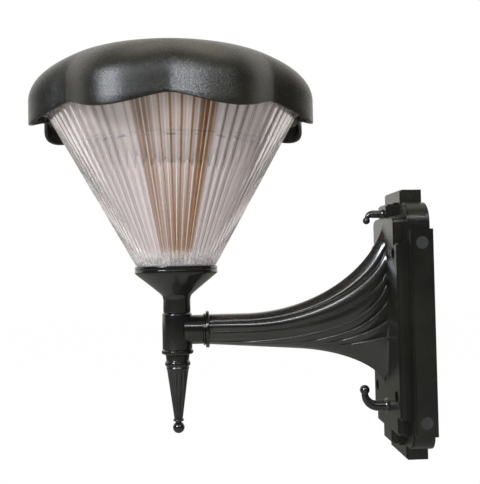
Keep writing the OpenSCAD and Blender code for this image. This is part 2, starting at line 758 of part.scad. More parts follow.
module cap_shell() {
    tip = cap_d / 2;
    cleft = cleft_d / 2;
    rim_tip_z = flange_z - petal_drop;
    rim_cleft_z = flange_z - cleft_drop;
    dome = [0, 12, 24, 35, 46, 57, 68, 79, 90];
    looped(concat(
        [cap_ring(tip - 0.8, cleft - 0.8, rim_tip_z, rim_cleft_z),
            cap_ring(tip, cleft, rim_tip_z + 0.9, rim_cleft_z + 0.9),
            cap_ring(tip, cleft, (rim_tip_z + flange_z) / 2, (rim_cleft_z + flange_z) / 2)],
        [for (t = dome) dome_ring(t, 0)],
        [round_ring(panel_d / 2, cap_top_z), round_ring(panel_d / 2, recess_z),
            round_ring(lead_hole_d / 2, recess_z), round_ring(lead_hole_d / 2, ceiling_z)],
        [for (t = reversed(dome)) dome_ring(t, cap_wall)],
        [cap_ring(tip - cap_wall, cleft - cap_wall, rim_tip_z, rim_cleft_z)]));
}

module petal_cap() color(black) at_lamp() difference() {
    union() {
        cap_shell();
        round_lamp(shade_screw_angles, shade_screw_r) translate([0, 0, post_z])
            cylinder(d = shade_post_d, h = shade_post_top - post_z);
        round_lamp(tray_screw_angles, tray_screw_r) translate([0, 0, tray_z + tray_t])
            cylinder(d = tray_post_d, h = tray_post_top - tray_z - tray_t);
    }
    round_lamp(shade_screw_angles, shade_screw_r) translate([0, 0, post_z - join])
        cylinder(d = small_screw_d, h = screw_l);
    round_lamp(tray_screw_angles, tray_screw_r) translate([0, 0, tray_z + tray_t - join])
        cylinder(d = small_screw_d, h = screw_l);
}

// Solar panel, layer on layer in the canopy's recess

tape_z = recess_z;
backing_z = tape_z + panel_tape_t;
cells_z = backing_z + backing_t;
glass_z = cells_z + cell_t;
cell_field = panel_d * 0.62;

module panel_tape() color(rubber) at_lamp() translate([0, 0, tape_z]) difference() {
    cylinder(r = panel_r, h = panel_tape_t);
    translate([0, 0, -join]) cylinder(d = lead_hole_d, h = panel_tape_t + 2 * join);
}

module panel_backing() color([0.12, 0.3, 0.16]) at_lamp() translate([0, 0, backing_z])
    cylinder(r = panel_r, h = backing_t);

module solar_cells() color([0.08, 0.1, 0.25]) at_lamp() translate([0, 0, cells_z])
    for (k = [0:cell_count - 1])
        translate([-cell_field / 2, -cell_field / 2 + k * cell_field / cell_count, 0])
            cube([cell_field, cell_field / cell_count - cell_gap, cell_t]);

module solar_glass() color([0.2, 0.24, 0.34, 0.6]) at_lamp() translate([0, 0, glass_z])
    cylinder(r = panel_r, h = panel_glass_t);

// Lamp tray

module led_tray() color(white) at_lamp() difference() {
    union() {
        translate([0, 0, tray_z]) cylinder(r = tray_screw_r + 4, h = tray_t);
        translate([0, 0, dish_z]) cylinder(r1 = dish_foot_r, r2 = dish_d / 2,
            h = tray_z + tray_t - dish_z);
    }
    translate([0, 0, dish_top_z]) cylinder(r1 = dish_foot_r - tray_t,
        r2 = dish_d / 2 - tray_t, h = tray_z + tray_t - dish_top_z + join);
    round_lamp(tray_screw_angles, tray_screw_r) translate([0, 0, tray_z - join])
        cylinder(d = small_screw_d + 0.4, h = tray_t + 2 * join);
    translate([tray_wire_x, 0, dish_z - join]) cylinder(d = tray_wire_d, h = tray_t + 2 * join);
}

module tray_screws() color(steel) at_lamp() round_lamp(tray_screw_angles, tray_screw_r)
    translate([0, 0, tray_z - screw_head_t])
        screw_along_z(screw_head_d, screw_head_t, small_screw_d - 0.4, screw_l);

module led_board() color(white) at_lamp() translate([0, 0, led_z]) difference() {
    cylinder(d = led_board_d, h = led_board_t);
    translate([0, 0, -join]) cylinder(d = led_board_bore_d, h = led_board_t + 2 * join);
}

module led_chips() color([0.95, 0.8, 0.3]) at_lamp()
    for (k = [0:led_count - 1]) rotate([0, 0, 360 * k / led_count])
        translate([led_ring_r - chip_w / 2, -chip_l / 2, led_z - chip_t])
            cube([chip_w, chip_l, chip_t]);

module battery_holder() color(rubber) at_lamp()
    translate([0, battery_y, dish_top_z]) difference() {
        translate([-holder_l / 2, -holder_w / 2, 0]) cube([holder_l, holder_w, holder_h]);
        translate([-battery_l / 2 - 0.5, 0, battery_z - dish_top_z]) rotate([0, 90, 0])
            cylinder(d = battery_d + 0.2, h = battery_l + 1);
        translate([-battery_l / 2 - 0.5, -battery_d / 2 - 0.1, battery_z - dish_top_z])
            cube([battery_l + 1, battery_d + 0.2, holder_h]);
    }

module battery_cell() color([0.2, 0.45, 0.75]) at_lamp()
    translate([-battery_l / 2, battery_y, battery_z]) rotate([0, 90, 0]) {
        cylinder(d = battery_d, h = battery_l - 1.5);
        cylinder(d = battery_d * 0.35, h = battery_l);
    }

module control_board() color([0.1, 0.4, 0.2]) at_lamp()
    translate([-control_l / 2, control_y - control_w / 2, control_z]) {
        cube([control_l, control_w, control_t]);
        translate([standoff_d + 3, standoff_d + 3, control_t - 0.1]) cube(control_chip);
        translate([control_l * 0.75, control_w * 0.66, control_t - 0.1])
            cylinder(d = capacitor_d, h = capacitor_h);
        for (x = [standoff_inset, control_l - standoff_inset],
                y = [standoff_inset, control_w - standoff_inset])
            translate([x, y, -control_standoff])
                cylinder(d = standoff_d, h = control_standoff + 0.1);
    }

// A point in the switch's own directions: out from the lamp's axis, and along the rim
function at_switch(r, along, z) = [r * cos(button_angle) - along * sin(button_angle),
    r * sin(button_angle) + along * cos(button_angle), z];

// A lead that runs through a list of points, with round corners
module lead(points) {
    for (i = [0:len(points) - 2]) let (v = points[i + 1] - points[i])
        translate(points[i]) rotate([0, acos(v[2] / norm(v)), atan2(v[1], v[0])])
            cylinder(d = lead_d, h = norm(v));
    for (i = [1:len(points) - 2]) translate(points[i]) sphere(d = lead_d + 0.2);
}

// Two leads run from the panel to the control board, two on to the light board through
// the tray, and two from the switch
module wiring() color([0.7, 0.1, 0.1]) at_lamp() {
    board_top_z = control_z + control_t;
    bend_z = ceiling_z - lead_slack;
    board_edge_y = control_y - control_w / 2 + lead_inset;
    switch_lead_r = button_r - switch_d / 2 - 2 * fit_gap;
    switch_lead_z = post_z + lead_drop;
    for (side = [-1, 1]) {
        x = tray_wire_x - side * lead_d;
        y = control_y + side * lead_d;
        far = side * lead_d - led_board_bore_d / 2 - lead_drop;
        low_z = led_z - lead_drop + side;
        lead([[side * lead_d, control_y, board_top_z], [side * lead_d, control_y, bend_z],
            [side * lead_d, 0, bend_z], [side * lead_d, 0, backing_z]]);
        lead([[x, board_edge_y, board_top_z], [x, board_edge_y, board_top_z + lead_slack],
            [x, 0, board_top_z + lead_slack], [x, 0, low_z], [far, 0, low_z],
            [far, 0, led_z]]);
        lead([at_switch(switch_lead_r, -side * lead_d, switch_lead_z),
            [tray_wire_x, y, switch_lead_z], [tray_wire_x, y, board_top_z]]);
    }
}

// Switch

module at_button() {
    at_lamp() round_lamp([button_angle], button_r) children();
}

module mode_button() color(rubber) at_button() {
    translate([0, 0, flange_z - button_out])
        cylinder(d = button_d, h = button_out + flange_t + join);
    translate([0, 0, flange_top_z + 0.05])
        cylinder(d = button_shoulder_d, h = button_shoulder_t);
    translate([0, 0, flange_top_z + button_shoulder_t])
        cylinder(d = button_stem_d, h = button_stem_t);
}

// The switch's case sits on the seal, with room for the button's shoulder and stem
module switch_body() color([0.25, 0.25, 0.27]) at_button() difference() {
    translate([0, 0, post_z]) cylinder(d = switch_d, h = switch_h);
    translate([0, 0, flange_top_z]) cylinder(d = button_shoulder_d + 0.6,
        h = button_shoulder_t + button_travel + fit_gap);
    translate([0, 0, flange_top_z]) cylinder(d = button_stem_d + 0.4,
        h = button_shoulder_t + button_stem_t + button_travel + fit_gap);
}

wall_plate();
side_plugs();
arm();
arm_screws();
upper_hook();
lower_hook();
arm_collar();
tee();
pendant();
stem_pipe();
lamp_cup();
cup_gasket();
shade();
clamp_washer();
clamp_nut();
petal_cap();
shade_seal();
shade_screws();
led_tray();
tray_screws();
led_board();
led_chips();
solar_glass();
solar_cells();
panel_backing();
panel_tape();
battery_holder();
battery_cell();
control_board();
wiring();
switch_body();
mode_button();
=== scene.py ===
import math
import bmesh
import bpy
from mathutils import Euler, Matrix, Vector


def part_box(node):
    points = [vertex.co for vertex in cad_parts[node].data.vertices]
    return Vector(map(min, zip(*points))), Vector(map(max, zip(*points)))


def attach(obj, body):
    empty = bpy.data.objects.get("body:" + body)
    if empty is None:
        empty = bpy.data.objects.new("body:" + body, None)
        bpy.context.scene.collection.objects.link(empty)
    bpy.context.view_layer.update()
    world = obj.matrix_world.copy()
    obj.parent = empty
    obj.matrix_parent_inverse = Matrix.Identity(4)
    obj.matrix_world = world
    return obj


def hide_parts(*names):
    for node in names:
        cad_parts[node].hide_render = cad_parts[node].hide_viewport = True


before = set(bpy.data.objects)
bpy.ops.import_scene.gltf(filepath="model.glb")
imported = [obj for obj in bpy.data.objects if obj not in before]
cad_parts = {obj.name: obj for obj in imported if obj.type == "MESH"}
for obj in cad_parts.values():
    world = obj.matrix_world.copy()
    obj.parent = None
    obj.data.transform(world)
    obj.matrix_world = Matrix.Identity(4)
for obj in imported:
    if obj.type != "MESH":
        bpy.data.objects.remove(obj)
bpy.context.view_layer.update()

mm = 0.001
lampReach = 0.205  # the lamp's axis from the wall
lampAxis = Vector((0, -lampReach, 0))
mergeReach = 1e-6
print("stage: frame loaded,", len(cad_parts), "nodes")


def deselectAll():
    if bpy.context.object and bpy.context.object.mode != "OBJECT":
        bpy.ops.object.mode_set(mode="OBJECT")
    bpy.ops.object.select_all(action="DESELECT")


def selectOnly(piece):
    deselectAll()
    piece.select_set(True)
    bpy.context.view_layer.objects.active = piece


def editAll(piece):
    selectOnly(piece)
    bpy.ops.object.mode_set(mode="EDIT")
    bpy.ops.mesh.select_all(action="SELECT")


def leaveEdit():
    bpy.ops.object.mode_set(mode="OBJECT")


def cleanMesh(piece):
    editAll(piece)
    bpy.ops.mesh.remove_doubles(threshold=mergeReach)
    bpy.ops.mesh.normals_make_consistent(inside=False)
    leaveEdit()


def smoothTo(piece, angle):
    selectOnly(piece)
    bpy.ops.object.shade_smooth_by_angle(angle=math.radians(angle))


def applyModifier(piece, kind, settings):
    selectOnly(piece)
    modifier = piece.modifiers.new(kind.title(), kind)
    for key, value in settings.items():
        setattr(modifier, key, value)
    bpy.ops.object.modifier_apply(modifier=modifier.name)


def settle(piece, body, finish, nodes=()):
    # the place goes into the mesh, and the piece takes its body and finish
    selectOnly(piece)
    bpy.ops.object.transform_apply(location=True, rotation=True, scale=True)
    piece.data.name = piece.name
    if finish:
        piece.data.materials.clear()
        piece.data.materials.append(finish)
    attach(piece, body)
    if nodes:
        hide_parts(*nodes)


def joinPieces(name, pieces):
    deselectAll()
    for piece in pieces:
        piece.select_set(True)
    bpy.context.view_layer.objects.active = pieces[0]
    bpy.ops.object.join()
    joined = bpy.context.object
    joined.name = name
    return joined


def copyOf(piece, place):
    # a copy with its own mesh, moved by the matrix
    twin = piece.copy()
    twin.data = piece.data.copy()
    twin.data.transform(place)
    bpy.context.scene.collection.objects.link(twin)
    return twin


class Sock:
    def __init__(self, nodes, out):
        self.nodes = nodes
        self.out = out

    def calc(self, operation, *values):
        return self.nodes.node("Math", {"operation": operation},
                               {i: v for i, v in enumerate((self,) + values)})

    def __add__(self, other):
        return self.calc("ADD", other)

    __radd__ = __add__

    def __mul__(self, other):
        return self.calc("MULTIPLY", other)

    __rmul__ = __mul__

    def __sub__(self, other):
        return self.calc("SUBTRACT", other)

    def __rsub__(self, other):
        return self.calc("MULTIPLY_ADD", -1, other)

    def __truediv__(self, other):
        return self.calc("DIVIDE", other)

    def __gt__(self, other):
        return self.calc("GREATER_THAN", other)

    def __lt__(self, other):
        return self.calc("LESS_THAN", other)

    def __mod__(self, other):
        return self.calc("FLOORED_MODULO", other)

    def far(self):
        return self.calc("ABSOLUTE")

    def ramp(self, low, high, toLow=0, toHigh=1):
        return self.nodes.node("MapRange", {"interpolation_type": "SMOOTHSTEP"},
                               {0: self, 1: low, 2: high, 3: toLow, 4: toHigh})


class Nodes:
    def __init__(self, owner):
        owner.use_nodes = True
        self.tree = owner.node_tree
        self.tree.nodes.clear()

    def node(self, kind, settings=None, sockets=None, out=0):
        node = self.tree.nodes.new("ShaderNode" + kind)
        for key, value in (settings or {}).items():
            setattr(node, key, value)
        for key, value in (sockets or {}).items():
            self.feed(node.inputs[key], value)
        return Sock(self, node.outputs[out]) if node.outputs else None

    def feed(self, socket, value):
        if isinstance(value, Sock):
            self.tree.links.new(value.out, socket)
        elif isinstance(value, tuple) and socket.type == "RGBA":
            socket.default_value = (*value[:3], 1)
        else:
            socket.default_value = value

    def blend(self, amount, first, second):
        return self.node("Mix", {"data_type": "RGBA"}, {0: amount, 6: first, 7: second},
                         out=2)

    def axes(self, place):
        split = self.node("SeparateXYZ", {}, {"Vector": place}).out.node
        return [Sock(self, split.outputs[i]) for i in range(3)]

    def ray(self, kind):
        return self.node("LightPath", out="Is " + kind + " Ray")


class Finish(Nodes):
    def __init__(self, name, constants):
        self.material = bpy.data.materials.new(name)
        super().__init__(self.material)
        self.place = self.node("TexCoord", out="Object")
        self.shader = self.node("BsdfPrincipled", {}, constants)
        self.node("OutputMaterial", {}, {"Surface": self.shader})

    def paint(self, **sockets):
        names = {"colour": "Base Color", "roughness": "Roughness", "metallic": "Metallic",
                 "normal": "Normal"}
        for key, value in sockets.items():
            self.feed(self.shader.out.node.inputs[names[key]], value)
        return self.material

    def noise(self, scale, detail=2, roughness=0.5, place=None):
        return self.node("TexNoise", {"noise_dimensions": "3D"},
                         {"Vector": place or self.place, "Scale": scale, "Detail": detail,
                          "Roughness": roughness})

    def cells(self, scale, out="Distance"):
        return self.node("TexVoronoi", {}, {"Vector": self.place, "Scale": scale}, out=out)

    def stretch(self, scale):
        return self.node("Mapping", {}, {"Vector": self.place, "Scale": scale})

    def bump(self, height, distance):
        return self.node("Bump", {}, {"Height": height, "Distance": distance,
                                      "Strength": 1.0})


def satinEnamel(name, look):
    # sprayed enamel: a fine orange peel, a little brown in it, and faint smudges
    f = Finish(name, {"IOR": 1.5, "Coat Weight": look["coat"], "Coat Roughness": 0.14})
    cloud = f.noise(look["cloud"], 3)
    peel = f.noise(look["peel"], 2, 0.6)
    grain = f.noise(look["peel"] * 3, 2)
    smudge = f.noise(30, 3, 0.5).ramp(0.45, 0.8)
    colour = f.blend(cloud.ramp(0.35, 0.7), look["dark"], look["warm"])
    return f.paint(colour=colour,
                   roughness=cloud * 0.06 + smudge * 0.03 + grain * 0.08 + look["roughness"],
                   normal=f.bump(peel * 0.5 + grain * 0.5, look["depth"]))


enamelLook = {"dark": (0.004, 0.004, 0.0034), "warm": (0.011, 0.0098, 0.0058),
              "roughness": 0.2, "cloud": 14, "peel": 620, "depth": 0.0004, "coat": 0.0}
armLook = {"dark": (0.004, 0.004, 0.0038), "warm": (0.008, 0.0076, 0.0062),
           "roughness": 0.14, "cloud": 20, "peel": 700, "depth": 0.00008, "coat": 1.0}
plateLook = {"dark": (0.0035, 0.0037, 0.003), "warm": (0.007, 0.007, 0.0045),
             "roughness": 0.17, "cloud": 22, "peel": 800, "depth": 0.0002, "coat": 0.1}
glossLook = {"dark": (0.004, 0.004, 0.004), "warm": (0.007, 0.0066, 0.006),
             "roughness": 0.06, "cloud": 30, "peel": 420, "depth": 0.00008, "coat": 0.4}
satinBlack = satinEnamel("satinBlack", enamelLook)
armBlack = satinEnamel("armBlack", armLook)
plateBlack = satinEnamel("plateBlack", plateLook)
glossBlack = satinEnamel("glossBlack", glossLook)

# Most of the shade's colours are painted light: a warm colour for painted refraction bands,
# grey and gold for painted refraction lines, a pale rosy colour for painted light at the top in
# front, and pale for painted highlights and glints.
clearLook = {"tint": (0.80, 0.725, 0.71), "pale": (1.0, 0.985, 0.98),
             "warm": (0.31, 0.145, 0.048), "paintedGreyLines": (0.13, 0.11, 0.105),
             "paintedGoldLines": (0.34, 0.205, 0.10), "paintedTopLight": (0.98, 0.92, 0.905), "ribs": 72,
             "footZ": (0.068, 0.055), "bandMiddle": 2, "bandAt": 14.5, "bandEdge": (2, 6),
             "middleEdge": (18, 8), "middleZ": (0.14, 0.07), "middleWarm": (0.3, 0.9),
             "rosyZ": (0.11, 0.16), "rosyEdge": (36, 20)}


def clearPlastic(look):
    # clear moulded plastic with light and shade painted into its colour: a painted paler rosy
    # light towards the top in front, two painted warm refraction bands in front with painted
    # golden refraction lines and lower painted warm grooves between them, painted grey
    # refraction lines beside the other ribs, a painted highlight along each rib, and painted
    # white glints at the foot
    f = Finish("clearRibbed", {"IOR": 1.42, "Transmission Weight": 0.86})
    x, y, z = f.axes(f.place)
    angle = (y + lampReach).calc("ARCTAN2", x)
    turn = angle * (look["ribs"] / math.tau)
    rib = (turn % 1 - 0.5).far() * 2
    number = turn.calc("FLOOR")
    chance = f.node("TexWhiteNoise", {"noise_dimensions": "1D"}, {"W": number})
    other = f.node("TexWhiteNoise", {"noise_dimensions": "1D"}, {"W": number + 0.5})
    aside = (angle * math.degrees(1) - look["bandMiddle"]).far()
    foot = z.ramp(*look["footZ"])
    front = aside.ramp(*look["middleEdge"])
    middle = front * z.ramp(*look["middleZ"], *look["middleWarm"])
    paintedWarmBands = (1 - (aside - look["bandAt"]).far().ramp(*look["bandEdge"])).calc("MAXIMUM", middle)
    groove = 1 - (rib - 0.5).far().ramp(0.25, 0.45)
    line = 1 - (rib - 0.92).far().ramp(0.03, 0.18)
    # painted warm refraction in the grooves of the two front bands and lower in the middle,
    # none at the foot
    warm = groove * paintedWarmBands * chance.ramp(0.0, 0.5, 0.75, 1) * (1 - foot)
    # painted refraction lines beside the ribs: grey at the sides, golden in front
    lines = line * other.ramp(0.2, 0.8, 0.1, 1.0)
    # painted paler rosy light towards the top in front
    paintedTopLight = z.ramp(*look["rosyZ"]) * aside.ramp(*look["rosyEdge"])
    # painted highlight along each rib, stronger on some ribs than on others
    paintedRibShine = (chance * 0.7 + 0.3) * rib.ramp(0.45, 0.1)
    colour = f.blend(paintedRibShine, look["tint"], look["pale"])
    colour = f.blend(paintedTopLight * 0.85, colour, look["paintedTopLight"])
    colour = f.blend(lines, colour, f.blend(front, look["paintedGreyLines"], look["paintedGoldLines"]))
    colour = f.blend(warm, colour, look["warm"])
    # painted white glints at the foot
    colour = f.blend(foot * f.noise(420, 2, 0.7).ramp(0.4, 0.6), colour, (1.0, 1.0, 1.0))
    glints = f.noise(330, 2, 0.7) * foot
    return f.paint(colour=colour, roughness=f.noise(45, 3).ramp(0.3, 0.7, 0.03, 0.08),
                   normal=f.bump(f.noise(700, 2) * 0.02 + glints, 0.0014))


clearRibbed = clearPlastic(clearLook)


def paleTray():
    f = Finish("paleTray", {"IOR": 1.49})
    cloud = f.noise(26, 3)
    grain = f.noise(1100, 2)
    colour = f.blend(cloud.ramp(0.3, 0.75), (0.80, 0.775, 0.735), (0.70, 0.665, 0.615))
    return f.paint(colour=colour, roughness=cloud * 0.12 + 0.34,
                   normal=f.bump(grain, 0.00004))


def zincSteel(name, tint, lines):
    f = Finish(name, {"IOR": 2.4})
    brushed = f.noise(1, 3, 0.7, place=f.stretch(lines))
    spots = f.noise(260, 2)
    colour = f.blend(spots.ramp(0.3, 0.8), tint, tuple(c * 0.78 for c in tint))
    return f.paint(colour=colour, metallic=1.0, roughness=brushed * 0.18 + 0.2,
                   normal=f.bump(brushed, 0.00003))


def blackRubber():
    f = Finish("blackRubber", {"IOR": 1.5, "Specular IOR Level": 0.35})
    grain = f.noise(1500, 3, 0.7)
    dust = f.noise(120, 4, 0.7).ramp(0.5, 0.8)
    colour = f.blend(dust * 0.5, (0.014, 0.014, 0.014), (0.045, 0.043, 0.04))
    return f.paint(colour=colour, roughness=grain * 0.15 + 0.62,
                   normal=f.bump(grain, 0.00005))


def panelCover():
    f = Finish("panelGlass", {"IOR": 1.52, "Transmission Weight": 1.0})
    wave = f.noise(28, 2)
    return f.paint(colour=f.blend(wave.ramp(0.3, 0.7), (0.93, 0.97, 0.98), (0.88, 0.93, 0.96)),
                   roughness=f.noise(90, 3).ramp(0.4, 0.8, 0.02, 0.06),
                   normal=f.bump(wave, 0.00004))


cellLook = {"strip": 9.61 * mm, "finger": 1.6 * mm, "blue": (0.010, 0.032, 0.19),
            "violet": (0.020, 0.026, 0.21), "silver": (0.62, 0.63, 0.64)}


def siliconCells(look):
    f = Finish("siliconCells", {"IOR": 1.6, "Coat Weight": 0.2, "Coat Roughness": 0.1})
    x, y, z = f.axes(f.place)
    grains = f.node("SeparateColor", {}, {0: f.cells(160, out="Color")})
    finger = ((x / look["finger"]) % 1 - 0.5).far() < 0.06
    across = ((y + lampReach) / look["strip"] + 0.5) % 1
    bar = (across - 0.5).far() > 0.46
    middle = (across - 0.5).far() < 0.035
    lines = (finger + bar + middle).calc("MINIMUM", 1)
    face = f.blend(grains, look["blue"], look["violet"])
    return f.paint(colour=f.blend(lines, face, look["silver"]), metallic=lines * 0.9,
                   roughness=0.32 - lines * 0.05, normal=f.bump(lines, 0.00003))


def circuitBoard(name, mask, copper, pad):
    # a board's lacquer over its tracks, with tinned pads
    f = Finish(name, {"IOR": 1.5, "Coat Weight": 0.4, "Coat Roughness": 0.15})
    tracks = f.node("TexBrick", {"offset": 0.37, "squash": 0.6, "squash_frequency": 3},
                    {"Vector": f.place, "Scale": 210, "Mortar Size": 0.012,
                     "Mortar Smooth": 0.0, "Color1": (0, 0, 0), "Color2": (0, 0, 0),
                     "Mortar": (1, 1, 1)}, out="Fac")
    dots = f.cells(330) < 0.16
    weave = f.noise(900, 1)
    face = f.blend(f.noise(60, 2).ramp(0.3, 0.7), mask, tuple(c * 0.86 for c in mask))
    face = f.blend(tracks, face, copper)
    return f.paint(colour=f.blend(dots, face, pad), metallic=dots * 0.8,
                   roughness=0.36 - dots * 0.1 + weave * 0.08,
                   normal=f.bump(tracks + dots, 0.00006))


def cellWrap():
    f = Finish("cellWrap", {"IOR": 1.5})
    x, y, z = f.axes(f.place)
    metal = x.far() > 0.0312
    crease = f.noise(1, 3, place=f.stretch((40, 500, 500)))
    colour = f.blend(f.noise(30).ramp(0.3, 0.7), (0.03, 0.16, 0.36), (0.02, 0.12, 0.30))
    return f.paint(colour=f.blend(metal, colour, (0.6, 0.6, 0.58)), metallic=metal,
                   roughness=0.3 + crease * 0.12, normal=f.bump(crease, 0.00008))


def leadSleeve():
    f = Finish("leadSleeve", {"IOR": 1.5})
    x, y, z = f.axes(f.place)
    aside = (x.far() < 0.012) * x + ((x + 0.024).far() < 0.01) * (x + 0.024)
    red = aside.calc("SIGN").ramp(-0.2, 0.2)
    fine = f.noise(800, 2)
    return f.paint(colour=f.blend(red, (0.02, 0.02, 0.02), (0.45, 0.02, 0.015)),
                   roughness=fine * 0.15 + 0.42, normal=f.bump(fine, 0.00004))


def mouldedPlastic(name, tint):
    f = Finish(name, {"IOR": 1.49})
    grain = f.noise(1300, 2)
    cloud = f.noise(40, 2)
    return f.paint(colour=f.blend(cloud, tint, tuple(c * 1.35 for c in tint)),
                   roughness=cloud * 0.15 + 0.38, normal=f.bump(grain, 0.00005))


trayWhite = paleTray()
steel = zincSteel("zincSteel", (0.62, 0.61, 0.58), (900, 900, 60))
rubber = blackRubber()
panelGlass = panelCover()
silicon = siliconCells(cellLook)
greenBoard = circuitBoard("greenBoard", (0.012, 0.085, 0.03), (0.03, 0.16, 0.06),
                          (0.62, 0.6, 0.56))
whiteBoard = circuitBoard("whiteBoard", (0.78, 0.78, 0.76), (0.70, 0.69, 0.65),
                          (0.6, 0.6, 0.58))
panelBoard = mouldedPlastic("panelBoard", (0.007, 0.011, 0.012))
battery = cellWrap()
leads = leadSleeve()
darkPlastic = mouldedPlastic("darkPlastic", (0.022, 0.022, 0.024))
chipYellow = mouldedPlastic("chipYellow", (0.30, 0.17, 0.05))
chipCase = mouldedPlastic("chipCase", (0.02, 0.018, 0.03))
print("stage: finishes made")

nodeFinish = {
    "wall_plate": plateBlack, "side_plugs": rubber, "arm": armBlack,
    "arm_screws": steel, "upper_hook": glossBlack, "lower_hook": glossBlack,
    "arm_collar": glossBlack, "tee": glossBlack, "pendant": glossBlack,
    "stem_pipe": steel, "lamp_cup": glossBlack, "cup_gasket": rubber,
    "shade": clearRibbed, "clamp_washer": steel, "clamp_nut": steel,
    "petal_cap": satinBlack, "shade_seal": rubber, "shade_screws": steel,
    "led_tray": trayWhite, "tray_screws": steel, "led_board": whiteBoard,
    "led_chips": chipYellow, "solar_glass": panelGlass, "solar_cells": silicon,
    "panel_backing": panelBoard, "panel_tape": rubber, "battery_holder": darkPlastic,
    "battery_cell": battery, "control_board": greenBoard, "wiring": leads,
    "switch_body": darkPlastic, "mode_button": rubber}
for nodeName, finish in nodeFinish.items():
    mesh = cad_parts[nodeName].data
    mesh.materials.clear()
    mesh.materials.append(finish)


def tube(name, segments, steps, place, joined=False, caps=(False, False)):
    # a ring is pulled out once for each step, then every point goes to its place,
    # which is a function of its number round the ring and of its step
    deselectAll()
    bpy.ops.mesh.primitive_circle_add(vertices=segments, radius=1, location=(0, 0, 0))
    piece = bpy.context.object
    piece.name = name
    bpy.ops.object.mode_set(mode="EDIT")
    bpy.ops.mesh.select_all(action="SELECT")
    for step in range(steps - 1):
        bpy.ops.mesh.extrude_region_move(TRANSFORM_OT_translate={"value": (0, 0, 1)})
    edit = bmesh.from_edit_mesh(piece.data)
    for vertex in edit.verts:
        vertex.co.z = round(vertex.co.z)
        vertex.select = vertex.co.z in (0, steps - 1)
    if joined:
        edit.select_flush_mode()
        edit.select_flush(True)
        bmesh.update_edit_mesh(piece.data)
        bpy.ops.mesh.select_mode(type="EDGE")
        bpy.ops.mesh.bridge_edge_loops()
        bpy.ops.mesh.select_mode(type="VERT")
        edit = bmesh.from_edit_mesh(piece.data)
    for end, capped in zip((0, steps - 1), caps):
        if capped:
            bpy.ops.mesh.select_all(action="DESELECT")
            edit = bmesh.from_edit_mesh(piece.data)
            for vertex in edit.verts:
                vertex.select = vertex.co.z == end
            edit.select_flush(True)
            bmesh.update_edit_mesh(piece.data)
            bpy.ops.mesh.edge_face_add()
    edit = bmesh.from_edit_mesh(piece.data)
    for vertex in edit.verts:
        turn = math.atan2(vertex.co.y, vertex.co.x) % math.tau
        number = round(turn / math.tau * segments) % segments
        vertex.co = place(number, int(vertex.co.z))
    bmesh.update_edit_mesh(piece.data)
    leaveEdit()
    cleanMesh(piece)
    return piece


cornerForm = {"reach": 0.45, "steps": 3}


def softened(points, closed=False):
    # corners of an outline given as (r, z, rounding) become short curves
    line = []
    count = len(points)
    for i, (r, z, rounding) in enumerate(points):
        if rounding == 0 or (not closed and i in (0, count - 1)):
            line.append(Vector((r, z)))
            continue
        here = Vector((r, z))
        before = Vector(points[i - 1][:2]) - here
        after = Vector(points[(i + 1) % count][:2]) - here
        start = here + before.normalized() * min(rounding, before.length * cornerForm["reach"])
        end = here + after.normalized() * min(rounding, after.length * cornerForm["reach"])
        for step in range(cornerForm["steps"] + 1):
            t = step / cornerForm["steps"]
            line.append(start * (1 - t) ** 2 + here * 2 * t * (1 - t) + end * t * t)
    return line


def lathe(name, points, segments=96, centre=lampAxis, wave=None, closed=False):
    # a turned piece: its outline goes round the axis, in millimetres
    line = softened(points, closed)

    def place(number, step):
        angle = math.tau * number / segments
        r, z = line[step]
        if wave:
            r = wave(angle, r, z)
        return Vector((r * mm * math.cos(angle), r * mm * math.sin(angle), z * mm)) + centre

    return tube(name, segments, len(line), place, joined=closed)


def roundedCopy(nodeName, name, form):
    # a copy of a CAD node with its corners rounded over
    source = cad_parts[nodeName]
    piece = source.copy()
    piece.data = source.data.copy()
    piece.parent = None
    for key in list(piece.keys()):
        del piece[key]
    piece.name = name
    bpy.context.scene.collection.objects.link(piece)
    editAll(piece)
    bpy.ops.mesh.remove_doubles(threshold=form["merge"])
    bpy.ops.mesh.customdata_custom_splitnormals_clear()
    bpy.ops.mesh.dissolve_limited(angle_limit=math.radians(form["flat"]))
    leaveEdit()
    applyModifier(piece, "BEVEL", {"width": form["edge"] * mm, "segments": form["steps"],
                                   "limit_method": "ANGLE",
                                   "angle_limit": math.radians(form["corner"]),
                                   "use_clamp_overlap": True})
    smoothTo(piece, form["smooth"])
    applyModifier(piece, "WEIGHTED_NORMAL", {"keep_sharp": True})
    return piece


canopy = {"across": 240, "cleft": 218, "petals": 8, "flangeZ": 177.3, "straight": 6,
          "drop": 13.5, "cleftDrop": 4, "wall": 2.6, "topZ": 222.3, "ceilingZ": 214.7,
          "recessZ": 217.3, "panel": 124, "leadHole": 12, "squareness": 1.85,
          "fade": 0.85, "fadePower": 1.4, "softness": 0.75, "points": 40, "domeSteps": 20,
          "lip": 2.4, "rim": ((1.7, 0), (0.9, 0), (0.25, 0.3), (0, 1.1)), "innerRim": 0.6,
          "seatEdge": ((0.9, 0), (0.25, 0.25), (0, 1)), "seatCorner": 0.4}


def petalWave(angle):
    # 1 at a petal's tip and 0 in the soft cleft between two petals
    return ((1 - math.cos(angle * canopy["petals"])) / 2) ** canopy["softness"]


def petalRadius(tip, cleft, angle):
    return cleft + (tip - cleft) * petalWave(angle)


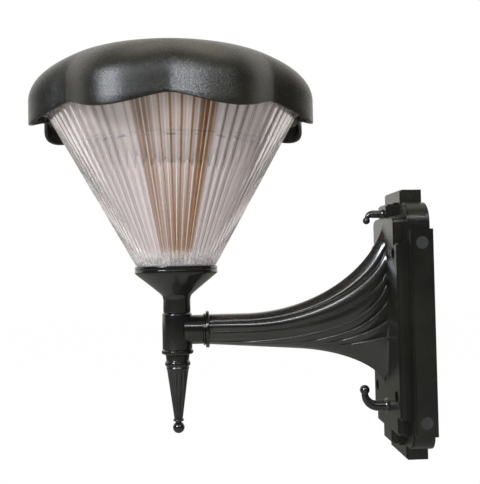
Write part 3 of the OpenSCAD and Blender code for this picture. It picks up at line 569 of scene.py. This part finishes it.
def canopyRings():
    # each ring: tip radius, cleft radius, height at the tip, height at the cleft
    c = canopy
    tip, cleft = c["across"] / 2, c["cleft"] / 2
    lowTip, lowCleft = c["flangeZ"] - c["drop"], c["flangeZ"] - c["cleftDrop"]
    foot = c["flangeZ"] + c["straight"]
    lip = c["panel"] / 2 + c["lip"]

    def dome(turn, inside):
        t = tip - inside
        high = (c["ceilingZ"] if inside else c["topZ"]) - foot
        power = 2 / c["squareness"]
        r = lip + (t - lip) * math.cos(turn) ** power
        h = math.sin(turn) ** power
        depth = (tip - cleft) * (1 - min(1, h / c["fade"]) ** c["fadePower"])
        return (r, r - depth, foot + high * h, foot + high * h)

    turns = [math.pi / 2 * k / c["domeSteps"] for k in range(c["domeSteps"] + 1)]
    turns[-1] -= 1e-4
    hole, seat, corner = c["leadHole"] / 2, c["panel"] / 2, c["seatCorner"]
    rings = [(tip - inset, cleft - inset, lowTip + up, lowCleft + up) for inset, up in c["rim"]]
    rings += [(tip, cleft, (lowTip + c["flangeZ"]) / 2, (lowCleft + c["flangeZ"]) / 2)]
    rings += [dome(turn, 0) for turn in turns]
    well = [(seat + out, c["topZ"] - down) for out, down in c["seatEdge"]]
    well += [(seat, c["recessZ"] + corner), (seat - corner, c["recessZ"]),
             (hole, c["recessZ"]), (hole, c["ceilingZ"])]
    rings += [(r, r, z, z) for r, z in well]
    rings += [dome(turn, c["wall"]) for turn in reversed(turns[::2])]
    rings += [(tip - c["wall"], cleft - c["wall"], lowTip + c["innerRim"],
               lowCleft + c["innerRim"])]
    return rings


postForm = {"bore": 1.3, "boreTop": 190, "around": 24,
            "shade": {"ringR": 110.8, "start": 22.5, "r": 3.6, "low": 180.8, "high": 196.2},
            "tray": {"ringR": 97.5, "start": 0, "r": 3, "low": 182.1, "high": 208.5}}


def addPosts(post):
    # four screw posts that hang from the canopy's ceiling
    bore, r, low, high = postForm["bore"], post["r"], post["low"], post["high"]
    outline = [(bore, postForm["boreTop"], 0), (bore, low, 0.2), (r, low, 0.3),
               (r, high, 0), (bore, high, 0)]
    posts = []
    for k in range(4):
        angle = math.radians(post["start"] + 90 * k)
        centre = lampAxis + Vector((math.cos(angle), math.sin(angle), 0)) * post["ringR"] * mm
        posts.append(lathe("post", outline, postForm["around"], centre, closed=True))
        smoothTo(posts[-1], 40)
    return posts


def addCanopy():
    rings = canopyRings()
    segments = canopy["petals"] * canopy["points"]

    def place(number, step):
        angle = math.tau * number / segments
        tip, cleft, tipZ, cleftZ = rings[step]
        r = petalRadius(tip, cleft, angle)
        z = cleftZ + (tipZ - cleftZ) * petalWave(angle)
        return Vector((r * mm * math.cos(angle), r * mm * math.sin(angle), z * mm)) + lampAxis

    shell = tube("canopyShell", segments, len(rings), place, joined=True)
    smoothTo(shell, 40)
    posts = addPosts(postForm["shade"]) + addPosts(postForm["tray"])
    whole = joinPieces("canopy", [shell] + posts)
    settle(whole, "light", satinBlack, ["petal_cap"])


shadeForm = {"ribs": 72, "ribPoints": 10, "ribDepth": 0.013, "footR": 33.3, "footZ": 47.8,
             "cupTopZ": 51.6, "coneH": 125.7, "topR": 104.4, "wall": 2.4,
             "floor": 3, "flangeZ": 177.3, "flange": 2.5, "hole": 5.3,
             "footRibs": ((1.2, 0), (2.2, 0.5), (3.4, 1.5), (5, 2.1), (7, 1.9), (9, 1.35)),
             "coneSteps": 14, "lift": 11, "dip": 9 / 14, "innerSteps": 8, "grooveShape": 0.8,
             "wallLow": 1.5, "wallTop": 1.2, "edge": 0.5, "boreEdge": 0.4, "boreGap": 0.05,
             "boreLow": 0.02, "flangeInset": 3.4, "screwHole": 1.5, "buttonHole": 3.85,
             "buttonR": 110.9, "buttonAngle": 157.5, "holePoints": 32, "cutDeep": 20}


def coneRadius(z):
    s = shadeForm
    return s["footR"] + (s["topR"] - s["footR"]) * (z - s["cupTopZ"]) / s["coneH"]


def addShade():
    s = shadeForm
    segments = s["ribs"] * s["ribPoints"]
    edge = s["edge"]
    outer = [(s["hole"], s["footZ"], 0), (s["footR"] - edge, s["footZ"], 0),
             (s["footR"], s["footZ"] + edge, 0), (s["footR"], s["cupTopZ"] + edge, 0)]
    for up, share in s["footRibs"]:
        z = s["cupTopZ"] + up
        outer.append((coneRadius(z), z, s["ribDepth"] * coneRadius(z) * share))
    for k in range(1, s["coneSteps"] + 1):
        share = k / s["coneSteps"]
        z = s["cupTopZ"] + s["coneH"] * share + s["lift"] * (1 - share) - s["dip"]
        outer.append((coneRadius(z), z, s["ribDepth"] * coneRadius(z)))
    low = s["footZ"] + s["floor"]
    top = s["flangeZ"]
    innerLow = coneRadius(low) - s["wall"] * s["wallLow"]
    innerTop = coneRadius(top) - s["wall"] * s["wallTop"]
    inner = [(innerTop, top, 0)]
    for k in range(s["innerSteps"] - 1, -1, -1):
        share = k / s["innerSteps"]
        inner.append((innerLow + (innerTop - innerLow) * share, low + (top - low) * share, 0))
    inner.append((s["hole"], low, 0))
    rings = outer + inner

    def place(number, step):
        angle = math.tau * number / segments
        r, z, depth = rings[step]
        share = (number % s["ribPoints"]) / s["ribPoints"]
        r -= depth * (1 - abs(math.cos(math.pi * share)) ** s["grooveShape"])
        return Vector((r * mm * math.cos(angle), r * mm * math.sin(angle), z * mm)) + lampAxis

    cone = tube("shadeCone", segments, len(rings), place, joined=True)
    smoothTo(cone, 60)
    settle(cone, "light", clearRibbed, ["shade"])

    # the lobed flange on top, with its holes
    tip = canopy["across"] / 2 - s["flangeInset"]
    cleft = canopy["cleft"] / 2 - s["flangeInset"]
    segments = canopy["petals"] * canopy["points"]
    top = s["flangeZ"] + s["flange"]
    bore = innerTop + s["boreGap"]
    lines = [(None, s["flangeZ"], -edge), (None, s["flangeZ"] + edge, 0),
             (None, top - edge, 0), (None, top, -edge), (bore + s["boreEdge"], top, 0),
             (bore, top - s["boreEdge"], 0), (bore, s["flangeZ"] + s["boreLow"], 0)]

    def placeFlange(number, step):
        angle = math.tau * number / segments
        r, z, grow = lines[step]
        if r is None:
            r = petalRadius(tip + grow, cleft + grow, angle)
        return Vector((r * mm * math.cos(angle), r * mm * math.sin(angle), z * mm)) + lampAxis

    flange = tube("shadeFlange", segments, len(lines), placeFlange, joined=True)
    posts = postForm["shade"]
    spots = [(posts["ringR"], posts["start"] + 90 * k, s["screwHole"]) for k in range(4)]
    spots.append((s["buttonR"], s["buttonAngle"], s["buttonHole"]))
    for radius, degrees, drill in spots:
        angle = math.radians(degrees)
        deselectAll()
        bpy.ops.mesh.primitive_cylinder_add(
            vertices=s["holePoints"], radius=drill * mm, depth=s["cutDeep"] * mm,
            location=lampAxis + Vector((math.cos(angle) * radius * mm,
                                        math.sin(angle) * radius * mm,
                                        (s["flangeZ"] + s["flange"] / 2) * mm)))
        cutter = bpy.context.object
        applyModifier(flange, "BOOLEAN", {"object": cutter, "operation": "DIFFERENCE",
                                          "solver": "EXACT"})
        bpy.data.objects.remove(cutter)
    smoothTo(flange, 40)
    settle(flange, "light", clearRibbed, ["shade"])


armForm = {"reach": 205, "z": -2.2, "across": 25.4, "rootW": 26, "rootTop": 87,
           "rootBottom": -57, "plate": 27, "start": 27, "belly": 11, "flute": 0.18,
           "lip": 1.6, "deepest": 1.8, "shallow": 0.3, "slow": 2.6, "quick": 1.5,
           "fade": 0.012, "stations": 56, "crowding": 1.4, "flutePoints": 16,
           "topPoints": 6, "topFlare": (0.2, 0.62), "lowFlare": (0.5, 0.5),
           "crests": [(0.12, 0.08, 0.06), (0.3, 0.2, 0.18), (0.61, 0.51, 0.31),
                      (0.90, 0.81, 0.393), (0.93, 0.99, 0.487), (0.955, 1.03, 0.60),
                      (0.98, 1.03, 0.71)]}


def flare(t, start, power):
    # 0 as far as the start, then a curve to 1 at the plate
    u = max(0, (t - start) / (1 - start))
    return 1 - max(0, 1 - u * u) ** power


def flutePoints(first, last, height, shallow):
    # a flute deepens slowly from its crest and comes out over a narrow lip to the next
    a = armForm
    gap = last - first
    lip = min(0.5, a["lip"] / (gap * height))
    deep = min(a["flute"] * gap * height, a["deepest"]) * (a["shallow"] if shallow else 1)
    half = a["flutePoints"] // 2
    points = [((1 - lip) * j / half, (j / half) ** a["slow"]) for j in range(half)]
    points += [(1 - lip + lip * j / half, 1 - (j / half) ** a["quick"]) for j in range(half)]
    return [(first + gap * share, deep * depth) for share, depth in points]


def armSection(t):
    a = armForm
    top = a["z"] + a["across"] / 2
    top += (a["rootTop"] - top) * flare(t, *a["topFlare"])
    low = a["z"] - a["across"] / 2
    bottom = low - a["belly"] * t
    bottom += (a["rootBottom"] - low + a["belly"]) * flare(t, *a["lowFlare"])
    half = a["across"] / 2 + (a["rootW"] - a["across"]) / 2 * t
    crests = [c0 * (1 - t) ** 2 + 2 * c1 * t * (1 - t) + c2 * t * t
              for c0, c1, c2 in a["crests"]]
    height = top - bottom
    side = [(crests[0] * (j / a["topPoints"]) ** 2, 0) for j in range(1, a["topPoints"])]
    for i, crest in enumerate(crests):
        side += flutePoints(crest, (crests + [1])[i + 1], height, i == len(crests) - 1)
    points = []
    for share, depth in side:
        bulge = max(0, 1 - (2 * share - 1) ** 2) ** (0.5 + 0.25 * t)
        points.append((half * bulge - depth * min(1, t / a["fade"]), top - share * height))
    y = -a["reach"] + a["start"] + (a["reach"] - a["start"] - a["plate"]) * t
    return y, top, bottom, points


def addArm():
    a = armForm
    turns = [0, a["fade"]] + [1 - (1 - k / a["stations"]) ** a["crowding"]
                              for k in range(1, a["stations"] + 1)]
    sections = [armSection(t) for t in turns]
    side = len(sections[0][3])
    segments = 2 * side + 2

    def place(number, step):
        y, top, bottom, points = sections[step]
        if number == 0:
            x, z = 0, top
        elif number <= side:
            x, z = points[number - 1]
        elif number == side + 1:
            x, z = 0, bottom
        else:
            x, z = points[segments - number - 1]
            x = -x
        return Vector((x, y, z)) * mm

    arm = tube("flutedArm", segments, len(sections), place, caps=(True, True))
    smoothTo(arm, 55)
    settle(arm, "light", armBlack, ["arm"])


plateForm = {"edge": 0.55, "steps": 2, "corner": 25, "merge": 2e-6, "flat": 0.5,
             "smooth": 35}


def addPlate():
    plate = roundedCopy("wall_plate", "wallPlate", plateForm)
    settle(plate, "light", plateBlack, ["wall_plate"])


teeForm = {
    "upright": [(5.3, 12.3, 0), (11.5, 12.3, 0.3), (12.5, 11.3, 0.5), (12.5, -17.9, 0.3),
                (12.0, -18.2, 0.2), (13.3, -19.2, 0.3), (13.3, -21.4, 0.4),
                (12.5, -22.2, 0.3), (5.3, -22.2, 0)],
    "socket": [(7, 0, 0), (12.3, 0, 0), (12.3, 15.2, 0), (12.0, 15.7, 0.2), (9.9, 15.7, 0),
               (9.9, 8, 0), (7, 8, 0)],
    "socketY": -198.7}


def layAlongArm(piece, y, turn):
    # from upright at the origin to level, on the arm's axis
    piece.data.transform(Matrix.Translation((0, y * mm, armForm["z"] * mm))
                         @ Euler((turn, 0, 0)).to_matrix().to_4x4())


def addTee():
    upright = lathe("upright", teeForm["upright"], closed=True)
    socket = lathe("socket", teeForm["socket"], 64, Vector((0, 0, 0)), closed=True)
    layAlongArm(socket, teeForm["socketY"], -math.pi / 2)
    for part in (upright, socket):
        smoothTo(part, 35)
    settle(joinPieces("teeJoint", [upright, socket]), "light", glossBlack,
           ["tee"])


collarForm = {
    "outline": [(9.9, 0, 0), (14.9, 0, 0.3), (15.5, 0.6, 0.3), (15.5, 2.4, 0.4),
                (14.9, 3, 0.3), (12.6, 3.0, 0.2), (13.5, 3.6, 0.3), (13.5, 4.6, 0.3),
                (13.1, 5, 0.2), (9.9, 5, 0)],
    "y": -178}


def addCollar():
    collar = lathe("armCollar", collarForm["outline"], 96, Vector((0, 0, 0)), closed=True)
    layAlongArm(collar, collarForm["y"], math.pi / 2)
    smoothTo(collar, 35)
    settle(collar, "light", glossBlack, ["arm_collar"])


cupForm = {  # neck, taper and a rim with a groove
    "outline": [(5.3, 12.3, 0), (10.9, 12.3, 0.3), (11.5, 12.9, 0.3), (11.5, 24.8, 1.6),
                (12.5, 27.3, 1.2), (19.5, 33.25, 2.5), (33.9, 44.8, 0.6), (34.9, 45.8, 0.5),
                (34.9, 48.2, 0.3), (34.4, 48.6, 0.25), (34.9, 49.0, 0.3), (34.9, 51.2, 0.3),
                (34.5, 51.6, 0.2), (33.5, 51.6, 0.2), (33.5, 46.8, 0.3), (5.3, 46.8, 0)]}


def addCup():
    cup = lathe("lampCup", cupForm["outline"], 128, closed=True)
    smoothTo(cup, 35)
    settle(cup, "light", glossBlack, ["lamp_cup"])


pendantForm = {
    "top": -22.2, "flutes": 12, "fluteTop": 13.4, "fluteEnd": 54.1, "topR": 9.1, "endR": 3.6,
    "rise": 1.0, "cutTop": 1.9, "cutEnd": 0.7, "runOut": 0.03, "ease": 0.05, "coneSteps": 14,
    "head": [(0, 0, 0), (10.1, 0, 0.3), (9.5, -5.6, 0.4), (10.5, -6.6, 0.4),
             (10.7, -8, 0.6), (10.5, -9.6, 0.4), (9.3, -10.4, 0.3), (9.7, -11.2, 0.2),
             (9.7, -12, 0.3), (9.1, -13.4, 0.3)],
    "tail": [(4.5, -54.9, 0.3), (4.5, -55.9, 0.3), (2.6, -56.7, 0.3), (2.6, -57.4, 0)],
    "ballR": 4.9, "ballZ": -61.5, "ballFrom": 35, "ballSteps": 14}


def addPendant():
    p = pendantForm
    cone = []
    for k in range(1, p["coneSteps"] + 1):
        share = k / p["coneSteps"]
        cone.append((p["topR"] + (p["endR"] - p["topR"]) * share,
                     -p["fluteTop"] - (p["fluteEnd"] - p["fluteTop"]) * share, 0))
    ball = []
    for k in range(p["ballSteps"]):
        a = math.radians(p["ballFrom"] + (180 - p["ballFrom"]) * k / p["ballSteps"])
        ball.append((p["ballR"] * math.sin(a), p["ballZ"] + p["ballR"] * math.cos(a), 0))
    ball.append((0, p["ballZ"] - p["ballR"], 0))

    def flutes(angle, r, z):
        down = -z + p["top"]
        share = (down - p["fluteTop"]) / (p["fluteEnd"] - p["fluteTop"])
        fromEnd = min(share, 1 - share) - p["runOut"]
        if fromEnd <= 0:
            return r
        cut = p["cutTop"] + (p["cutEnd"] - p["cutTop"]) * share
        centre = r + p["rise"] * (1 - share)
        half = math.pi / p["flutes"]
        turn = (angle + half) % (2 * half) - half
        aside = centre * math.sin(turn)
        if abs(aside) >= cut:
            return r
        edge = centre * math.cos(turn) - math.sqrt(cut * cut - aside * aside)
        return r - max(0, r - edge) * min(1, fromEnd / p["ease"])

    points = [(r, z + p["top"], f) for r, z, f in p["head"] + cone + p["tail"] + ball]
    pendant = lathe("pendantDrop", points, 288, wave=flutes)
    smoothTo(pendant, 40)
    settle(pendant, "light", glossBlack, ["pendant"])


hookShape = {"foot": ((0, 1.5), (0.4, 1.4), (1.5, 1.16), (3, 1.09)), "start": 1.08,
             "thin": 0.42, "bends": 18, "ball": 0.5, "neck": 0.66, "ballSteps": 16,
             "around": 32}
hookForms = {
    "upper_hook": {"z": 93, "run": 9, "bend": 4.5, "turn": 75, "thick": 6.2, "up": -1},
    "lower_hook": {"z": -71, "run": 8.5, "bend": 10.5, "turn": 90, "thick": 8.4, "up": 1}}


def addHook(nodeName, h):
    # a straight run out of the plate, a bend and a ball at the tip
    w = hookShape
    plate, r, up = armForm["plate"], h["thick"] / 2, h["up"]
    turn = math.radians(h["turn"])
    ballR = h["thick"] * w["ball"]
    neck = math.asin(min(1, r * w["neck"] / ballR))
    rings = [(plate + out, h["z"], 0, r * grow) for out, grow in w["foot"]]
    for k in range(w["bends"] + 1):
        a = turn * k / w["bends"]
        rings.append((plate + h["run"] + h["bend"] * math.sin(a),
                      h["z"] + up * h["bend"] * (1 - math.cos(a)), up * a,
                      r * (w["start"] - w["thin"] * k / w["bends"])))
    endY, endZ = rings[-1][:2]
    for k in range(1, w["ballSteps"] + 1):
        a = neck + (math.pi - neck) * k / w["ballSteps"]
        d = ballR * (math.cos(neck) - math.cos(a))
        rings.append((endY + d * math.cos(turn), endZ + up * d * math.sin(turn),
                      up * turn, ballR * math.sin(a)))

    def place(number, step):
        y, z, heading, radius = rings[step]
        a = math.tau * number / w["around"]
        return Vector((radius * math.cos(a), -y + radius * math.sin(a) * math.sin(heading),
                       z + radius * math.sin(a) * math.cos(heading))) * mm

    hook = tube(nodeName.replace("_h", "H"), w["around"], len(rings), place,
                caps=(True, False))
    smoothTo(hook, 50)
    settle(hook, "light", glossBlack, [nodeName])


screwForms = {
    "small": {"headR": 2.7, "headT": 1.8, "shankR": 1.0, "length": 8.8},
    "large": {"headR": 3.5, "headT": 2.4, "shankR": 1.15, "length": 13.8},
    "crownR": 0.62, "crownZ": 0.02, "brimZ": 0.55, "firstThread": 0.3, "unthreaded": 1.2,
    "tipR": 0.5, "tipLong": 0.4, "threads": 22, "threadDepth": 0.28, "slotLong": 1.15,
    "slotWide": 0.7, "slotDeep": 2.0, "shadeZ": 175.5, "trayZ": 178.3, "turned": 20,
    "armY": -21.6, "armZs": (50, 12, -26)}


def crossHeadScrew(size):
    # a pan head that looks down, with a cross cut in it, and a threaded shank upwards
    w, size = screwForms, screwForms[size]
    headR, headT, shankR, length = (size[k] for k in ("headR", "headT", "shankR", "length"))
    turns = [(shankR + (w["threadDepth"] if k % 2 else 0),
              headT + w["firstThread"] + (length - w["unthreaded"]) * k / w["threads"], 0)
             for k in range(w["threads"] + 1)]
    head = [(0, 0, 0), (headR * w["crownR"], w["crownZ"], 0.3),
            (headR, headT * w["brimZ"], 0.5), (headR, headT, 0.15), (shankR, headT, 0)]
    tip = [(shankR * w["tipR"], headT + length - w["tipLong"], 0), (0, headT + length, 0)]
    screw = lathe("screw", head + turns + tip, 24, Vector((0, 0, 0)))
    for k in range(2):
        deselectAll()
        bpy.ops.mesh.primitive_cube_add(size=1)
        blade = bpy.context.object
        blade.data.transform(Matrix.Rotation(math.pi / 2 * k, 4, "Z")
                             @ Matrix.Diagonal((headR * w["slotLong"] * mm,
                                                w["slotWide"] * mm, w["slotDeep"] * mm, 1)))
        applyModifier(screw, "BOOLEAN", {"object": blade, "operation": "DIFFERENCE",
                                         "solver": "EXACT"})
        bpy.data.objects.remove(blade)
    smoothTo(screw, 35)
    return screw


def ringPlaces(post, z):
    # one place under each of a ring's four posts
    places = []
    for k in range(4):
        angle = math.radians(post["start"] + 90 * k)
        spot = Vector((math.cos(angle), math.sin(angle), 0)) * post["ringR"] * mm
        places.append(Matrix.Translation(lampAxis + spot + Vector((0, 0, z * mm)))
                      @ Matrix.Rotation(angle + math.radians(screwForms["turned"]), 4, "Z"))
    return places


def scatter(name, model, places, finish, nodes):
    copies = [copyOf(model, place) for place in places]
    bpy.data.objects.remove(model)
    settle(joinPieces(name, copies), "light", finish, nodes)


def addFasteners():
    w = screwForms
    scatter("shadeScrews", crossHeadScrew("small"), ringPlaces(postForm["shade"], w["shadeZ"]),
            steel, ["shade_screws"])
    scatter("trayScrews", crossHeadScrew("small"), ringPlaces(postForm["tray"], w["trayZ"]),
            steel, ["tray_screws"])
    level = Matrix.Rotation(math.pi / 2, 4, "X")
    places = [Matrix.Translation((0, w["armY"] * mm, z * mm)) @ level for z in w["armZs"]]
    scatter("armScrews", crossHeadScrew("large"), places, steel, ["arm_screws"])


chipForm = {"count": 24, "fromEdge": 7, "long": 3.5, "wide": 2.8, "thick": 0.8, "rim": 0.45,
            "dip": 0.12, "bevel": 0.12, "facesDown": -0.9, "faceArea": 4e-6}


def addChips():
    # a light on its pads: a dark case with the yellow die face let in
    c = chipForm
    deselectAll()
    bpy.ops.mesh.primitive_cube_add(size=1)
    chip = bpy.context.object
    chip.data.transform(Matrix.Translation((0, 0, -c["thick"] * mm / 2))
                        @ Matrix.Diagonal((c["wide"] * mm, c["long"] * mm,
                                           c["thick"] * mm, 1)))
    applyModifier(chip, "BEVEL", {"width": c["bevel"] * mm, "segments": 1})
    editAll(chip)
    bpy.ops.mesh.select_mode(type="FACE")
    bpy.ops.mesh.select_all(action="DESELECT")
    edit = bmesh.from_edit_mesh(chip.data)
    for face in edit.faces:
        face.select = face.normal.z < c["facesDown"] and face.calc_area() > c["faceArea"]
    bmesh.update_edit_mesh(chip.data)
    bpy.ops.mesh.inset(thickness=c["rim"] * mm)
    chip.data.materials.append(chipCase)
    chip.data.materials.append(chipYellow)
    edit = bmesh.from_edit_mesh(chip.data)
    for face in edit.faces:
        face.material_index = 1 if face.select else 0
    bmesh.update_edit_mesh(chip.data)
    bpy.ops.transform.translate(value=(0, 0, c["dip"] * mm))
    bpy.ops.mesh.select_mode(type="VERT")
    leaveEdit()
    low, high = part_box("led_board")
    ringR = high.x - c["fromEdge"] * mm
    places = [Matrix.Translation(lampAxis + Vector((0, 0, low.z)))
              @ Matrix.Rotation(math.tau * k / c["count"], 4, "Z")
              @ Matrix.Translation((ringR, 0, 0)) for k in range(c["count"])]
    copies = [copyOf(chip, place) for place in places]
    bpy.data.objects.remove(chip)
    lights = joinPieces("ledChips", copies)
    settle(lights, "light", None, ["led_chips"])


buttonForm = {"outline": [(0, 174.1, 0), (2.2, 174.1, 0.5), (2.5, 173.8, 0.3),
                          (3.6, 173.8, 0.8), (3.6, 179.85, 0.1), (4.6, 179.85, 0.2),
                          (4.6, 181.05, 0.2), (1.5, 181.05, 0.1), (1.5, 182.4, 0.2),
                          (0, 182.4, 0)]}


def addButton():
    angle = math.radians(shadeForm["buttonAngle"])
    spot = Vector((math.cos(angle), math.sin(angle), 0)) * shadeForm["buttonR"] * mm
    button = lathe("modeButton", buttonForm["outline"], 48, lampAxis + spot)
    smoothTo(button, 40)
    settle(button, "button", rubber, ["mode_button"])


addCanopy()
addShade()
print("stage: canopy and shade")
addArm()
addPlate()
addTee()
addCollar()
addCup()
addPendant()
for hookNode, hookForm in hookForms.items():
    addHook(hookNode, hookForm)
print("stage: arm, plate, hooks and turned pieces")
addFasteners()
addChips()
addButton()
print("stage: screws, lights and button")


view = {"place": (0.595, -0.189, 0.0512), "yaw": 3.7, "pitch": 1.9, "roll": 1.1,
        "focalPixels": 700, "framePixels": 484, "sensor": 24}


def addCamera():
    yaw, pitch, roll = (math.radians(view[k]) for k in ("yaw", "pitch", "roll"))
    ahead = Vector((-math.cos(yaw) * math.cos(pitch), math.sin(yaw) * math.cos(pitch),
                    math.sin(pitch)))
    right = ahead.cross(Vector((0, 0, 1))).normalized()
    up = right.cross(ahead)
    turnedRight = right * math.cos(roll) - up * math.sin(roll)
    turnedUp = right * math.sin(roll) + up * math.cos(roll)
    bpy.ops.object.camera_add(location=view["place"])
    camera = bpy.context.object
    camera.name = "photoCamera"
    camera.rotation_euler = Matrix((turnedRight, turnedUp, -ahead)).transposed().to_euler()
    camera.data.sensor_fit = "VERTICAL"
    camera.data.sensor_height = view["sensor"]
    camera.data.lens = view["focalPixels"] * view["sensor"] / view["framePixels"]
    camera.data.clip_start = 0.01
    bpy.context.scene.camera = camera


lampLooks = [
    {"name": "windowFront", "place": (1.45, -1.35, 0.85), "size": 0.6, "power": 52,
     "colour": (0.90, 0.94, 1.0)},
    {"name": "stripHigh", "place": (1.1, -0.1, 0.75), "size": 1.5, "wide": 0.1,
     "power": 7, "colour": (0.92, 0.95, 1.0)},
    {"name": "ceilingSoft", "place": (-0.1, -0.1, 1.5), "size": 0.9, "power": 4,
     "colour": (1.0, 0.94, 0.84)}]

lampAim = (0, -0.15, 0.08)


def addLights():
    for look in lampLooks:
        bpy.ops.object.light_add(type="AREA", location=look["place"])
        lamp = bpy.context.object
        lamp.name = look["name"]
        lamp.data.size = look["size"]
        if "wide" in look:
            lamp.data.shape = "RECTANGLE"
            lamp.data.size_y = look["wide"]
        lamp.data.energy = look["power"]
        lamp.data.color = look["colour"]
        lamp.visible_camera = False
        lamp.visible_transmission = False
        aim = Vector(lampAim) - lamp.location
        lamp.rotation_euler = aim.to_track_quat("-Z", "Y").to_euler()


worldLook = {"room": (0.74, 0.74, 0.75), "near": (0.05, 0.05, 0.046),
             "above": (0.33, 0.32, 0.23), "behind": (1.0, 0.98, 0.92),
             "shown": (1.0, 1.0, 1.0), "aboveFrom": (0.15, 0.95),
             "behindFrom": (-0.05, -0.5), "behindTop": (0.95, 0.6)}


def addWorld():
    # black enamel mirrors a dim room on the camera's side and the pale backdrop behind,
    # also from under the panel's glass, and the camera sees the backdrop white
    w = worldLook
    world = bpy.data.worlds.new("studio")
    bpy.context.scene.world = world
    n = Nodes(world)
    x, y, z = n.axes(n.node("TexCoord", out="Generated"))
    mirrored = n.blend(z.ramp(*w["aboveFrom"]), w["near"], w["above"])
    backdrop = x.ramp(*w["behindFrom"]) * z.ramp(*w["behindTop"])
    mirrored = n.blend(backdrop, mirrored, w["behind"])
    underGlass = n.node("LightPath", out="Glossy Depth") > 0.5
    look = n.blend(n.ray("Glossy").calc("MAXIMUM", underGlass), w["room"], mirrored)
    seen = n.ray("Camera").calc("MAXIMUM", n.ray("Transmission") * (1 - underGlass))
    back = n.node("Background", {}, {"Color": n.blend(seen, look, w["shown"])})
    n.node("OutputWorld", {}, {"Surface": back})


floorLook = {"z": -0.42, "size": 12, "pale": (0.86, 0.86, 0.85), "dim": (0.35, 0.35, 0.33),
             "lit": 0.985}


def addStage():
    # the camera sees the floor nearly white, with a little of the object's shadow
    look = floorLook
    bpy.ops.mesh.primitive_plane_add(size=look["size"], location=(0, 0, look["z"]))
    floor = bpy.context.object
    floor.name = "floor"
    bpy.ops.object.transform_apply(location=True)
    paper = bpy.data.materials.new("paleFloor")
    n = Nodes(paper)
    colour = n.blend(n.ray("Glossy"), look["pale"], look["dim"])
    matt = n.node("BsdfDiffuse", {}, {"Color": colour})
    white = n.node("Emission", {}, {"Color": (1.0, 1.0, 1.0)})
    seen = n.ray("Camera").calc("MAXIMUM", n.ray("Transmission")) * look["lit"]
    n.node("OutputMaterial", {},
           {"Surface": n.node("MixShader", {}, {0: seen, 1: matt, 2: white})})
    floor.data.materials.append(paper)


addCamera()
addLights()
addWorld()
addStage()
bpy.context.scene.view_settings.view_transform = "Standard"
print("stage: camera, lights and floor ready")
